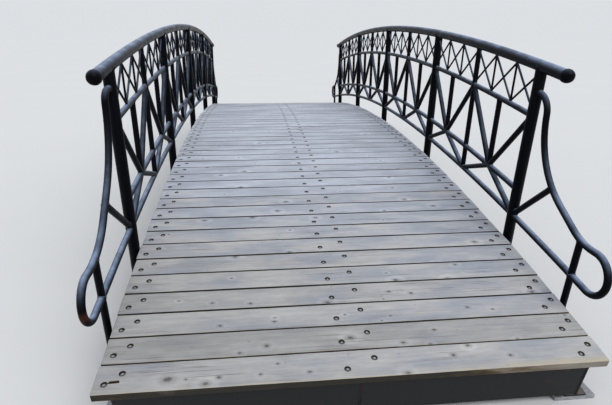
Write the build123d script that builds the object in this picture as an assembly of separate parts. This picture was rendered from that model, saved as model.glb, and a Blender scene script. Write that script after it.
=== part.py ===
import os
from dataclasses import dataclass
from math import asin, atan2, cos, degrees, sin, sqrt

from build123d import *

# Arched footbridge: a weathered board deck on three curved steel beams, with a black tube railing
# on each side. Millimetres. X runs across, Y along the walkway and Z up. The origin lies on the
# ground in the middle of the bridge. "Near" is the -Y end and "right" the +X side.
# A station is a distance along the deck's arc from the crest, and a height is measured square
# to that arc from the walking surface.

# Deck boards
deck_width = 2134.0
deck_radius = 20620.0
board_count = 54
board_width = 143.0
board_gap = 4.0
board_thickness = 38.0
deck_section_count = 6

# Curved beams under the three rows of deck bolts
beam_depth = 200.0
outer_beam_inset = 74.0
outer_flange_width = 100.0
centre_flange_width = 165.0
flange_thickness = 10.0
web_thickness = 8.0
beam_end_inset = 15.0

# Channels between the beams: a shallow row at each main post and a deep one at each end
brace_depth = 120.0
brace_flange = 50.0
brace_thickness = 6.0
end_brace_clearance = 2.0

# Tapered bearing plates at both ends
bearing_thickness = 20.0
bearing_length = 240.0
bearing_ledge = 45.0
anchor_hole_diameter = 18.0
anchor_edge_distance = 25.0

# Railing tubes
pipe_diameter = 60.3
tube_diameter = 33.4
rod_diameter = 12.7
tube_sides = 8
rod_sides = 6
post_side_clearance = 2.0
weld_gap = 0.1

# Railing layout
bay_count = 4
main_post_spacing = 1488.0
post_lean_share = 0.5
handrail_height = 985.0
mid_rail_height = 723.0
lower_rail_height = 290.0
bottom_rail_height = 131.0
upper_panels_per_half_bay = 3
post_foot_depth = 225.0

# Handrail ends
handrail_overhang = 215.0
cap_diameter = 69.0
cap_collar = 14.0
cap_dome = 30.0

# Scroll tube at each railing end
scroll_post_offset = 120.0
scroll_loop_radius = 99.5
scroll_loop_reach = 728.0
strut_scroll_height = 397.0
short_post_offset = 593.0

# Bends of the right scrolls, which were shaped by hand and differ from the left ones
right_scroll_start_drop = 136.0
right_scroll_bend_radius = 102.0
right_scroll_knee_drop = 377.0
right_scroll_knee_radius = 472.0
right_scroll_toe_length = 107.0
right_scroll_toe_radius = 301.0

# Bends of the left scrolls
left_scroll_start_drop = 102.0
left_scroll_bend_radius = 60.0
left_scroll_knee_drop = 275.0
left_scroll_knee_radius = 533.0
left_scroll_toe_length = 173.0
left_scroll_toe_radius = 390.0

# Brackets that hold the posts to the outer beams
bracket_height = 150.0
bracket_thickness = 10.0

# Values worked out from the sizes above
board_pitch = board_width + board_gap
half_deck_arc = board_count * board_pitch / 2
beam_top_radius = deck_radius - board_thickness
beam_bottom_radius = beam_top_radius - beam_depth
beam_end_angle = (half_deck_arc - beam_end_inset) / deck_radius
beam_end_y = beam_bottom_radius * sin(beam_end_angle)
arc_centre_z = bearing_thickness - beam_bottom_radius * cos(beam_end_angle)
outer_beam_x = deck_width / 2 - outer_beam_inset
pipe_radius = pipe_diameter / 2
tube_radius = tube_diameter / 2
rod_radius = rod_diameter / 2
rail_x = deck_width / 2 + post_side_clearance + pipe_radius
end_post_station = bay_count * main_post_spacing / 2
post_stations = [main_post_spacing * i - end_post_station for i in range(bay_count + 1)]
short_post_station = -end_post_station - short_post_offset


@dataclass
class ScrollBends:
    """The sizes of one side's scrolls, from the end post down to the loop."""

    start_drop: float
    bend_radius: float
    knee_drop: float
    knee_radius: float
    toe_length: float
    toe_radius: float


right_bends = ScrollBends(
    start_drop=right_scroll_start_drop,
    bend_radius=right_scroll_bend_radius,
    knee_drop=right_scroll_knee_drop,
    knee_radius=right_scroll_knee_radius,
    toe_length=right_scroll_toe_length,
    toe_radius=right_scroll_toe_radius,
)
left_bends = ScrollBends(
    start_drop=left_scroll_start_drop,
    bend_radius=left_scroll_bend_radius,
    knee_drop=left_scroll_knee_drop,
    knee_radius=left_scroll_knee_radius,
    toe_length=left_scroll_toe_length,
    toe_radius=left_scroll_toe_radius,
)


def arc_point(radius, angle):
    """Return (y, z) on a circle about the arc's centre, the angle counted from the crest."""
    return radius * sin(angle), arc_centre_z + radius * cos(angle)


def curved_slab(inner_radius, outer_radius, start_angle, end_angle, x_low, x_high):
    """Return a slab that follows the arc, between two radii, two angles and two x planes."""
    mid_angle = (start_angle + end_angle) / 2
    outer = [arc_point(outer_radius, a) for a in (start_angle, mid_angle, end_angle)]
    inner = [arc_point(inner_radius, a) for a in (end_angle, mid_angle, start_angle)]
    with BuildSketch(Plane.YZ.offset(x_low)) as sector:
        with BuildLine():
            ThreePointArc(*outer)
            Line(outer[2], inner[0])
            ThreePointArc(*inner)
            Line(inner[2], outer[0])
        make_face()
    return extrude(sector.sketch, amount=x_high - x_low)


def lean_direction(station):
    """Return the (y, z) direction of a post, which leans a share of the way to square."""
    lean = post_lean_share * station / deck_radius
    return sin(lean), cos(lean)


def post_point(station, height):
    """Return (y, z) where a post's line meets the arc that lies a height above the deck."""
    foot_y, foot_z = arc_point(deck_radius, station / deck_radius)
    foot_z -= arc_centre_z
    lean_y, lean_z = lean_direction(station)
    along = foot_y * lean_y + foot_z * lean_z
    target = deck_radius + height
    rise = -along + sqrt(along**2 - deck_radius**2 + target**2)
    return foot_y + rise * lean_y, arc_centre_z + foot_z + rise * lean_z


def post_angle(station, height):
    """Return the arc angle of the point where a post's line reaches a height."""
    y, z = post_point(station, height)
    return atan2(y, z - arc_centre_z)


def on_rail_plane(point):
    """Return a point of the right railing's plane as a 3D vector."""
    return Vector(rail_x, point[0], point[1])


def cylinder_between(start, end, radius):
    """Return a round bar between two (y, z) points of the right railing's plane."""
    first = on_rail_plane(start)
    run = on_rail_plane(end) - first
    return extrude(Plane(first, x_dir=(1, 0, 0), z_dir=run) * Circle(radius), amount=run.length)


def lattice_bar(start, end, radius, sides):
    """Return a bar of few sides between two (y, z) points, with two flats in the rail plane."""
    first = on_rail_plane(start)
    run = on_rail_plane(end) - first
    outline = RegularPolygon(radius, sides, major_radius=False, rotation=180 / sides)
    return extrude(Plane(first, x_dir=(1, 0, 0), z_dir=run) * outline, amount=run.length)


def curved_bar(profile, height, start_angle, end_angle):
    """Return a bar whose flat profile is carried round the arc at a height above the deck."""
    radius = deck_radius + height
    start_plane = Plane(
        on_rail_plane(arc_point(radius, start_angle)),
        x_dir=(1, 0, 0),
        z_dir=(0, cos(start_angle), -sin(start_angle)),
    )
    arc_axis = Axis((0, 0, arc_centre_z), (-1, 0, 0))
    return revolve(start_plane * profile, arc_axis, degrees(end_angle - start_angle))


def post_line(station, low_height, high_height, radius):
    """Return a round post along its leaning line between two heights."""
    return cylinder_between(post_point(station, low_height), post_point(station, high_height), radius)


def solids_of(*shapes):
    """Return one compound that holds the solids of all the shapes."""
    return Compound([solid for shape in shapes for solid in shape.solids()])


def across(shape):
    """Return the same shape on the left side."""
    return shape.mirror(Plane.YZ)


def end_for_end(shape):
    """Return the same shape at the far end."""
    return shape.mirror(Plane.XZ)


def deck_board(index):
    """Return one board, flat on the beams at its own place on the arc."""
    angle = ((index + 0.5) * board_pitch - half_deck_arc) / deck_radius
    middle = arc_point(deck_radius - board_thickness / 2, angle)
    board = Box(deck_width, board_width, board_thickness)
    return Pos(0, *middle) * Rot(-degrees(angle), 0, 0) * board


def curved_beam(middle_x, flange_width):
    """Return one rolled beam: two flanges and a web that follow the arc."""
    half_flange = flange_width / 2
    half_web = web_thickness / 2
    lower_face = beam_bottom_radius + flange_thickness
    upper_face = beam_top_radius - flange_thickness
    ends = (-beam_end_angle, beam_end_angle)
    flange_x = (middle_x - half_flange, middle_x + half_flange)
    web = curved_slab(lower_face, upper_face, *ends, middle_x - half_web, middle_x + half_web)
    bottom_flange = curved_slab(beam_bottom_radius, lower_face, *ends, *flange_x)
    top_flange = curved_slab(upper_face, beam_top_radius, *ends, *flange_x)
    return web + bottom_flange + top_flange


def channel_brace(angle, depth):
    """Return the channel that joins the centre beam to the right beam at an arc angle."""
    length = outer_beam_x - web_thickness
    middle = arc_point(beam_bottom_radius + beam_depth / 2, angle)
    web = Box(length, brace_thickness, depth)
    flange = Box(length, brace_flange, brace_thickness)
    flange_y = (brace_flange - brace_thickness) / 2
    flange_z = (depth - brace_thickness) / 2
    channel = web + Pos(0, flange_y, flange_z) * flange + Pos(0, flange_y, -flange_z) * flange
    return Pos(outer_beam_x / 2, *middle) * Rot(-degrees(angle), 0, 0) * channel


def bearing(middle_x, flange_width):
    """Return the near bearing plate of one beam, tapered up to the underside of its flange."""
    plate_width = flange_width + 2 * bearing_ledge
    middle_y = -beam_end_y + bearing_length / 2
    plate = Pos(middle_x, middle_y, bearing_thickness / 2) * Box(
        plate_width, bearing_length, bearing_thickness
    )
    inner_angle = asin((bearing_length - beam_end_y) / beam_bottom_radius)
    inner_top = arc_point(beam_bottom_radius, inner_angle)
    outer_top = arc_point(beam_bottom_radius, -beam_end_angle)
    mid_top = arc_point(beam_bottom_radius, (inner_angle - beam_end_angle) / 2)
    with BuildSketch(Plane.YZ.offset(middle_x - flange_width / 2)) as wedge:
        with BuildLine():
            ThreePointArc(outer_top, mid_top, inner_top)
            Line(inner_top, (inner_top[0], 0))
            Line((inner_top[0], 0), (outer_top[0], 0))
            Line((outer_top[0], 0), outer_top)
        make_face()
    shoe = plate + extrude(wedge.sketch, amount=flange_width)
    hole_x = plate_width / 2 - anchor_edge_distance
    hole = Cylinder(anchor_hole_diameter / 2, 4 * bearing_thickness)
    return shoe - Pos(middle_x - hole_x, middle_y, 0) * hole - Pos(middle_x + hole_x, middle_y, 0) * hole


def handrail(radius, overlap=0.0):
    """Return the handrail's pipe, lengthened at both ends by the overlap."""
    reach = (handrail_overhang + overlap) / (deck_radius + handrail_height)
    end_angle = post_angle(end_post_station, handrail_height) + reach
    return curved_bar(Circle(radius), handrail_height, -end_angle, end_angle)


def handrail_cap():
    """Return the near domed cap, which closes the handrail's open end."""
    end_angle = post_angle(end_post_station, handrail_height)
    end_angle += handrail_overhang / (deck_radius + handrail_height)
    seat = Plane(
        on_rail_plane(arc_point(deck_radius + handrail_height, -end_angle)),
        x_dir=(1, 0, 0),
        z_dir=(0, -cos(end_angle), -sin(end_angle)),
    )
    cap_radius = cap_diameter / 2
    dome_radius = (cap_radius**2 + cap_dome**2) / (2 * cap_dome)
    half_turn = asin(cap_radius / dome_radius) / 2
    dome_middle = (
        dome_radius * sin(half_turn),
        cap_collar + cap_dome - dome_radius * (1 - cos(half_turn)),
    )
    with BuildSketch(Plane.XZ) as half_profile:
        with BuildLine():
            Line((0, 0), (cap_radius, 0))
            Line((cap_radius, 0), (cap_radius, cap_collar))
            ThreePointArc((cap_radius, cap_collar), dome_middle, (0, cap_collar + cap_dome))
            Line((0, cap_collar + cap_dome), (0, 0))
        make_face()
    return seat.location * revolve(half_profile.sketch, Axis.Z)


def post_cutter(station):
    """Return the post's outside, a weld gap larger, to trim what butts against it."""
    return post_line(station, -post_foot_depth, handrail_height, pipe_radius + weld_gap)


def straight_handrail_cutter(station):
    """Return a short straight length of the handrail's outside to cope the top of a post."""
    middle = post_point(station, handrail_height)
    angle = post_angle(station, handrail_height)
    reach = 2 * pipe_diameter
    step = (reach * cos(angle), -reach * sin(angle))
    start = (middle[0] - step[0], middle[1] - step[1])
    end = (middle[0] + step[0], middle[1] + step[1])
    return cylinder_between(start, end, pipe_radius + weld_gap)


def main_post(station):
    """Return one main post, coped to the handrail."""
    post = post_line(station, -post_foot_depth, handrail_height, pipe_radius)
    return post - straight_handrail_cutter(station)


def along_bay(start_station, share):
    """Return the station at a share of the way along the half bay that starts at a station."""
    return start_station + share * main_post_spacing / 2


def half_bay_bars(start):
    """Return the bars of one half bay: the rods of the upper band and the bars of the web."""
    end = along_bay(start, 1)
    rod_top = handrail_height - pipe_radius
    rod_bottom = mid_rail_height + tube_radius
    bars = []
    for panel in range(upper_panels_per_half_bay):
        low = along_bay(start, panel / upper_panels_per_half_bay)
        high = along_bay(start, (panel + 1) / upper_panels_per_half_bay)
        bars.append(rod(low, rod_bottom, high, rod_top))
        bars.append(rod(high, rod_bottom, low, rod_top))
        if panel > 0:
            bars.append(rod(low, rod_bottom, low, rod_top))
    middle = along_bay(start, 0.5)
    hub = post_point(middle, lower_rail_height)
    rim = [
        post_point(start, mid_rail_height),
        post_point(middle, mid_rail_height),
        post_point(end, mid_rail_height),
        post_point(start, bottom_rail_height),
        post_point(end, bottom_rail_height),
    ]
    bars += [lattice_bar(hub, point, tube_radius, tube_sides) for point in rim]
    return bars


def rod(first_station, first_height, second_station, second_height):
    """Return a thin rod of the upper band, run a little way into what it is welded to."""
    first = on_rail_plane(post_point(first_station, first_height))
    second = on_rail_plane(post_point(second_station, second_height))
    run_in = (second - first).normalized() * rod_diameter
    first -= run_in
    second += run_in
    return lattice_bar((first.Y, first.Z), (second.Y, second.Z), rod_radius, rod_sides)


def lattice_panel(start):
    """Return the welded lattice that fills the bay after the main post at a station."""
    end = start + main_post_spacing
    middle = start + main_post_spacing / 2
    bars = half_bay_bars(start) + half_bay_bars(middle)
    foot = post_point(middle, bottom_rail_height)
    head = post_point(middle, handrail_height)
    bars.append(lattice_bar(foot, head, tube_radius, tube_sides))
    outline = RegularPolygon(tube_radius, tube_sides, major_radius=False, rotation=180 / tube_sides)
    for height in (mid_rail_height, lower_rail_height, bottom_rail_height):
        ends = (post_angle(start, height), post_angle(end, height))
        bars.append(curved_bar(outline, height, *ends))
    panel = bars[0].fuse(*bars[1:])
    return panel - post_cutter(start) - post_cutter(end) - handrail(pipe_radius + weld_gap)


def scroll_path(bends):
    """Return the near scroll's centreline, from the end post out, round the loop and back."""
    start = post_point(-end_post_station, handrail_height - bends.start_drop)
    drop_y = start[0] - scroll_post_offset
    loop_y = post_point(-end_post_station, 0)[0] - scroll_loop_reach
    return_radius = deck_radius + bottom_rail_height
    loop_distance = return_radius + scroll_loop_radius
    loop_z = arc_centre_z + sqrt(loop_distance**2 - loop_y**2)
    loop_top = (loop_y, loop_z + scroll_loop_radius)
    toe = (loop_y + bends.toe_length, loop_top[1])
    knee = (drop_y, start[1] - bends.knee_drop)
    corner = (drop_y, start[1])
    loop_angle = atan2(loop_y, loop_z - arc_centre_z)
    loop_side = (loop_y - scroll_loop_radius, loop_z)
    loop_end = arc_point(return_radius, loop_angle)
    post_end_angle = post_angle(-end_post_station, bottom_rail_height)
    return_middle = arc_point(return_radius, (loop_angle + post_end_angle) / 2)
    return_end = arc_point(return_radius, post_end_angle)
    corners = [start, corner, knee, toe, loop_top]
    radii = [bends.bend_radius, bends.knee_radius, bends.toe_radius]
    with BuildLine(Plane.YZ.offset(rail_x)) as path:
        FilletPolyline(*corners, radius=radii)
        ThreePointArc(loop_top, loop_side, loop_end)
        ThreePointArc(loop_end, return_middle, return_end)
    return path.wire()


def scroll_tube(bends, radius):
    """Return the near scroll as one bent tube of a radius."""
    path = scroll_path(bends)
    profile = Plane(path @ 0, x_dir=(1, 0, 0), z_dir=path % 0) * Circle(radius)
    return sweep(profile, path)


def short_post_line(radius, high_height):
    """Return the short post's bar from its foot up to a height."""
    return post_line(short_post_station, -post_foot_depth, high_height, radius)


def scroll(bends):
    """Return the near scroll, trimmed where it meets the end post and the short post."""
    short_post_cutter = short_post_line(tube_radius + weld_gap, scroll_clear_height())
    return scroll_tube(bends, tube_radius) - post_cutter(-end_post_station) - short_post_cutter


def scroll_clear_height():
    """Return a height on the short post's line between the scroll's return and its outer run."""
    return bottom_rail_height + 2 * tube_diameter


def short_post(bends):
    """Return the near short post, coped to the underside of the scroll's outer run."""
    post = short_post_line(tube_radius, bottom_rail_height + 2 * scroll_loop_radius)
    outer_run = scroll_tube(bends, tube_radius + weld_gap) - short_post_line(
        tube_diameter, scroll_clear_height()
    )
    return keep_lowest(post - outer_run)


def keep_lowest(shape):
    """Return the lowest solid of a trimmed bar."""
    return shape.solids().sort_by(Axis.Z)[0]


def scroll_strut(bends):
    """Return the near strut from the foot of the end post up to the scroll."""
    foot = post_point(-end_post_station, bottom_rail_height)
    path = scroll_path(bends)
    target_z = post_point(-end_post_station, 0)[1] + strut_scroll_height
    level = Plane((0, 0, target_z))
    crossing = path.intersect(level)
    outer = crossing.vertices().sort_by(Axis.Y)[0]
    strut = cylinder_between(foot, (outer.Y, outer.Z), tube_radius)
    strut = strut - post_cutter(-end_post_station) - scroll_tube(bends, tube_radius + weld_gap)
    return max(strut.solids(), key=lambda solid: solid.volume)


def scroll_pieces(bends):
    """Return the scrolls of one side with their struts and short posts, made in the right plane."""
    near_scroll = scroll(bends)
    strut = scroll_strut(bends)
    near_short_post = short_post(bends)
    return {
        "near_scroll": near_scroll,
        "far_scroll": end_for_end(near_scroll),
        "scroll_struts": solids_of(strut, end_for_end(strut)),
        "short_posts": solids_of(near_short_post, end_for_end(near_short_post)),
    }


def post_bracket(station, radius):
    """Return the plate that holds a post to the right beam's web."""
    angle = station / deck_radius
    middle = arc_point(beam_bottom_radius + beam_depth / 2, angle)
    inner_x = outer_beam_x + web_thickness / 2
    length = rail_x - inner_x
    plate = Box(length, bracket_thickness, bracket_height)
    plate = Pos(inner_x + length / 2, *middle) * Rot(-degrees(angle), 0, 0) * plate
    return plate - post_line(station, -2 * post_foot_depth, handrail_height, radius + weld_gap)


nodes = {}

boards_per_section = board_count / deck_section_count
for section in range(deck_section_count):
    first_board = round(section * boards_per_section)
    next_board = round((section + 1) * boards_per_section)
    boards = [deck_board(index) for index in range(first_board, next_board)]
    nodes[f"deck_boards_{section + 1}"] = solids_of(*boards)

right_beam = curved_beam(outer_beam_x, outer_flange_width)
nodes["right_beam"] = right_beam
nodes["left_beam"] = across(right_beam)
nodes["centre_beam"] = curved_beam(0, centre_flange_width)

braces = [channel_brace(station / deck_radius, brace_depth) for station in post_stations]
nodes["cross_braces"] = solids_of(*braces, *[across(brace) for brace in braces])

end_brace_angle = brace_thickness / 2 / (beam_bottom_radius + beam_depth / 2) - beam_end_angle
end_brace_depth = beam_depth - 2 * flange_thickness - 2 * end_brace_clearance
end_brace = channel_brace(end_brace_angle, end_brace_depth)
near_end_braces = solids_of(end_brace, across(end_brace))
nodes["end_braces"] = solids_of(near_end_braces, end_for_end(near_end_braces))

outer_bearing = bearing(outer_beam_x, outer_flange_width)
near_bearings = solids_of(bearing(0, centre_flange_width), outer_bearing, across(outer_bearing))
nodes["near_bearings"] = near_bearings
nodes["far_bearings"] = end_for_end(near_bearings)

right_side = {"handrail": handrail(pipe_radius)}
cap = handrail_cap()
right_side["handrail_caps"] = solids_of(cap, end_for_end(cap))
right_side["main_posts"] = solids_of(*[main_post(station) for station in post_stations])
for bay in range(bay_count):
    if bay < (bay_count + 1) // 2:
        right_side[f"panel_{bay + 1}"] = lattice_panel(post_stations[bay])
    else:
        right_side[f"panel_{bay + 1}"] = end_for_end(right_side[f"panel_{bay_count - bay}"])
brackets = [post_bracket(station, pipe_radius) for station in post_stations]
short_bracket = post_bracket(short_post_station, tube_radius)
brackets += [short_bracket, end_for_end(short_bracket)]
right_side["post_brackets"] = solids_of(*brackets)

for name, shape in right_side.items():
    nodes[f"right_{name}"] = shape
    nodes[f"left_{name}"] = across(shape)

for name, shape in scroll_pieces(right_bends).items():
    nodes[f"right_{name}"] = shape
for name, shape in scroll_pieces(left_bends).items():
    nodes[f"left_{name}"] = across(shape)

os.makedirs("parts", exist_ok=True)
for name, shape in nodes.items():
    export_step(shape, f"parts/{name}.step")
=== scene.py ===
"""Dressed model of an arched footbridge: a weathered board deck on curved beams, with tube railings.

Metres. X runs across, Y along the walkway and Z up, with the origin on the floor in the middle of
the bridge. "Near" is the -Y end and "right" the +X side. A station is a distance along the deck's
arc from its crest, and a height is measured square to that arc from the walking surface.
"""

import logging
from dataclasses import dataclass, field
from enum import Enum

import bpy
import numpy as np
from mathutils import Matrix, Vector


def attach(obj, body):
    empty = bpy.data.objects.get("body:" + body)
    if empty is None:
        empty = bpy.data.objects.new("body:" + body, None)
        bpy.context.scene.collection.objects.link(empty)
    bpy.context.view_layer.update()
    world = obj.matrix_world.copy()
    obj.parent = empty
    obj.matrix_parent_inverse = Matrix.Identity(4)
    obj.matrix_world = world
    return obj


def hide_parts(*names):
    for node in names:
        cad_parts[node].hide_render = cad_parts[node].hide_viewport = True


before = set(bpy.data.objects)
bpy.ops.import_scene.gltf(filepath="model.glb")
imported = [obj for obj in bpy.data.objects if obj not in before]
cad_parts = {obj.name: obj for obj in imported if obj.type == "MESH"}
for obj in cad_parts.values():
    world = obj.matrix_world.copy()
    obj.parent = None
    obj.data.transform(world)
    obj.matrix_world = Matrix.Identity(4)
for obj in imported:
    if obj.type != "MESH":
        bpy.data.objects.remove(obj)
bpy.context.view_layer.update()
BODY = "root"
LOG = logging.getLogger("footbridge")
X_AXIS, Y_AXIS, Z_AXIS = np.eye(3)

Colour = tuple[float, float, float]
Spot = tuple[tuple[float, float, float], float]
Pair = tuple[float, float]
Rows = tuple[tuple[float, ...], ...]
Array = np.ndarray
Material = bpy.types.Material
Socket = bpy.types.NodeSocket
Tree = bpy.types.NodeTree
Link = float | tuple | Socket
ShaderInputs = tuple[dict[str, Link], Link]


class Slot(Enum):
    """The record's material slots."""

    BOARDS = "boards"
    RAILING = "railing"
    BEAMS = "beams"
    BEARINGS = "bearings"
    BOLTS = "bolts"


class Side(Enum):
    """The two sides of the walkway."""

    RIGHT = "right"
    LEFT = "left"


class Mirror(Enum):
    """The axes in which a piece is mirrored, by their number."""

    ACROSS = 0
    ALONG = 1


# Surfaces in arrays


@dataclass
class Surface:
    """A mesh held in arrays.

    points is (n, 3), faces holds arrays with one row of point numbers per face, and marks holds
    named values of one or three numbers per point for the materials to read.
    """

    points: Array
    faces: list[Array]
    marks: dict[str, Array] = field(default_factory=dict)

    def turned_over(self) -> "Surface":
        """Return the same surface with every face looking the other way."""
        return Surface(self.points, [rows[:, ::-1] for rows in self.faces], self.marks)

    def mirrored(self, mirror: Mirror) -> "Surface":
        """Return the surface mirrored in one axis, with its faces still looking outwards."""
        signs = np.where(np.arange(3) == mirror.value, -1.0, 1.0)
        return Surface(self.points * signs, self.faces, self.marks).turned_over()

    def doubled(self, mirror: Mirror) -> "Surface":
        """Return the surface together with its mirror image."""
        return joined([self, self.mirrored(mirror)])

    def placed(self, side: Side) -> "Surface":
        """Return a piece made at the right, mirrored to its side."""
        return self if side is Side.RIGHT else self.mirrored(Mirror.ACROSS)

    def outward(self) -> "Surface":
        """Return the closed surface with its faces looking outwards.

        The enclosed volume is a sixth of the sum, over all triangles fanned from each face's first
        corner, of the triple product of their corners. It is negative when the faces look inwards.
        """
        volume = 0.0
        for rows in self.faces:
            first = self.points[rows[:, 0]]
            for corner in range(1, rows.shape[1] - 1):
                second, third = self.points[rows[:, corner]], self.points[rows[:, corner + 1]]
                volume += np.einsum("ij,ij->", first, np.cross(second, third))
        return self if volume >= 0 else self.turned_over()


def joined(surfaces: list[Surface]) -> Surface:
    """Return one surface that holds all the given ones side by side.

    Args:
        surfaces: the surfaces, which carry the same marks.

    Returns:
        The points, faces and marks of all of them, with the point numbers moved on.
    """
    counts = np.array([len(surface.points) for surface in surfaces])
    starts = np.concatenate([[0], np.cumsum(counts)[:-1]])
    faces = [rows + start for surface, start in zip(surfaces, starts) for rows in surface.faces]
    marks = {
        name: np.concatenate([surface.marks[name] for surface in surfaces])
        for name in surfaces[0].marks
    }
    return Surface(np.concatenate([surface.points for surface in surfaces]), faces, marks)


def ring_faces(rings: int, around: int, looped: bool) -> Array:
    """Return the quads between neighbouring rings of points.

    Args:
        rings: number of rings.
        around: points in each ring, which closes on itself.
        looped: whether the last ring joins the first.

    Returns:
        An array of four point numbers per quad.
    """
    row, column = np.meshgrid(np.arange(rings if looped else rings - 1), np.arange(around), indexing="ij")
    next_row, next_column = (row + 1) % rings, (column + 1) % around
    corners = [
        row * around + column, row * around + next_column, next_row * around + next_column,
        next_row * around + column,
    ]
    return np.stack(corners, axis=-1).reshape(-1, 4)


def swept(profile: Array, centres: Array, across: Array, up: Array, looped: bool = False) -> Surface:
    """Return a flat profile carried along a path, closed by a flat face at each open end.

    A point of the surface is the path's centre plus the profile's two coordinates times the
    path's two cross directions there.

    Args:
        profile: (k, 2) outline, or (n, k, 2) with one outline for each centre.
        centres: (n, 3) points of the path.
        across: (n, 3) or (3,) direction of the profile's first coordinate.
        up: (n, 3) or (3,) direction of its second coordinate.
        looped: whether the path closes on itself.

    Returns:
        The closed surface.
    """
    outline = np.broadcast_to(profile, (len(centres), *profile.shape[-2:]))
    first = np.broadcast_to(across, centres.shape)[:, None, :]
    second = np.broadcast_to(up, centres.shape)[:, None, :]
    points = centres[:, None, :] + outline[..., :1] * first + outline[..., 1:] * second
    rings, around = points.shape[:2]
    faces = [ring_faces(rings, around, looped)]
    if not looped:
        end = np.arange(around)[None, :]
        faces += [end[:, ::-1], end + (rings - 1) * around]
    return Surface(points.reshape(-1, 3), faces).outward()


def unit(vectors: Array) -> Array:
    """Return vectors divided by their lengths."""
    return vectors / np.linalg.norm(vectors, axis=-1, keepdims=True)


def circle_points(sides: int) -> Array:
    """Return (sides, 2) points on the unit circle: the cosine and sine of even angles."""
    angles = np.linspace(0, 2 * np.pi, sides, endpoint=False)
    return np.stack([np.cos(angles), np.sin(angles)], axis=-1)


def ring_pairs(count: int) -> tuple[Array, Array]:
    """Return the numbers of a ring's points, and the number that follows each."""
    return np.arange(count), np.roll(np.arange(count), -1)


def turned(centres: Array, radii: Array, across: Array, up: Array, sides: int) -> Surface:
    """Return a round bar whose radius may change along its path, closed to a point at both ends.

    A ring's point at an angle is the centre plus the radius times the cosine along one cross
    direction and the sine along the other. A radius of zero at an end makes a pole.

    Args:
        centres: (n, 3) points of the path.
        radii: (n,) radius at each centre.
        across: (n, 3) or (3,) first cross direction.
        up: (n, 3) or (3,) second cross direction.
        sides: points in each ring.

    Returns:
        The closed surface.
    """
    circle = circle_points(sides)
    ring = radii > 0
    first = np.broadcast_to(across, centres.shape)[ring, None, :]
    second = np.broadcast_to(up, centres.shape)[ring, None, :]
    reach = radii[ring, None, None]
    points = centres[ring, None, :] + reach * (circle[:, :1] * first + circle[:, 1:] * second)
    rings = int(ring.sum())
    last = (rings - 1) * sides
    loop, following = ring_pairs(sides)
    start_fan = np.stack([np.full(sides, rings * sides), following, loop], axis=-1)
    end_fan = np.stack([np.full(sides, rings * sides + 1), last + loop, last + following], axis=-1)
    everything = np.concatenate([points.reshape(-1, 3), centres[:1], centres[-1:]])
    return Surface(everything, [ring_faces(rings, sides, False), start_fan, end_fan]).outward()


def in_rail_plane(x: float, path: Array) -> Array:
    """Return (y, z) points as (x, y, z) points of an upright plane."""
    return np.column_stack([np.full(len(path), x), path])


def bent_tube(x: float, path: Array, radius: float, sides: int) -> Surface:
    """Return a round tube along a path of (y, z) points in the upright plane at x."""
    run = unit(np.gradient(path, axis=0))
    normals = in_rail_plane(0.0, np.column_stack([-run[:, 1], run[:, 0]]))
    return turned(in_rail_plane(x, path), np.full(len(path), radius), X_AXIS, normals, sides)


def copies(template: Surface, origins: Array, across: Array, along: Array, up: Array) -> Surface:
    """Return one surface with a copy of a template at every origin.

    A copied point is its origin plus the template's x, y and z times three directions there.

    Args:
        template: the shape to repeat.
        origins: (n, 3) places.
        across: (n, 3) direction of the template's x.
        along: (n, 3) direction of its y.
        up: (n, 3) direction of its z.

    Returns:
        All the copies in one surface.
    """
    axes = np.stack([across, along, up], axis=1)
    points = origins[:, None, :] + np.einsum("pk,nkc->npc", template.points, axes)
    steps = np.arange(len(origins))[:, None, None] * len(template.points)
    faces = [(rows[None] + steps).reshape(-1, rows.shape[1]) for rows in template.faces]
    marks = {name: np.tile(values, len(origins)) for name, values in template.marks.items()}
    return Surface(points.reshape(-1, 3), faces, marks)


def rounded_corner(centre: Pair, radius: float, start: float, turn: float, steps: int) -> Array:
    """Return (y, z) points on an arc, its start and turn in degrees, counted anticlockwise."""
    angles = np.radians(np.linspace(start, start + turn, steps + 1))
    return np.array(centre) + radius * np.column_stack([np.cos(angles), np.sin(angles)])


def smooth_noise(places: Array, wavelength: float, rng: np.random.Generator) -> Array:
    """Return random heights from -1 to 1, joined by the ease curve 3t^2 - 2t^3.

    Args:
        places: positions at which the curve is read.
        wavelength: distance between the heights.
        rng: their seeded source.

    Returns:
        One value for each place.
    """
    cells = (places - places.min()) / wavelength
    heights = rng.uniform(-1, 1, int(cells.max()) + 3)
    cell = cells.astype(int)
    share = cells - cell
    ease = share * share * (3 - 2 * share)
    return heights[cell] * (1 - ease) + heights[cell + 1] * ease


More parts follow.
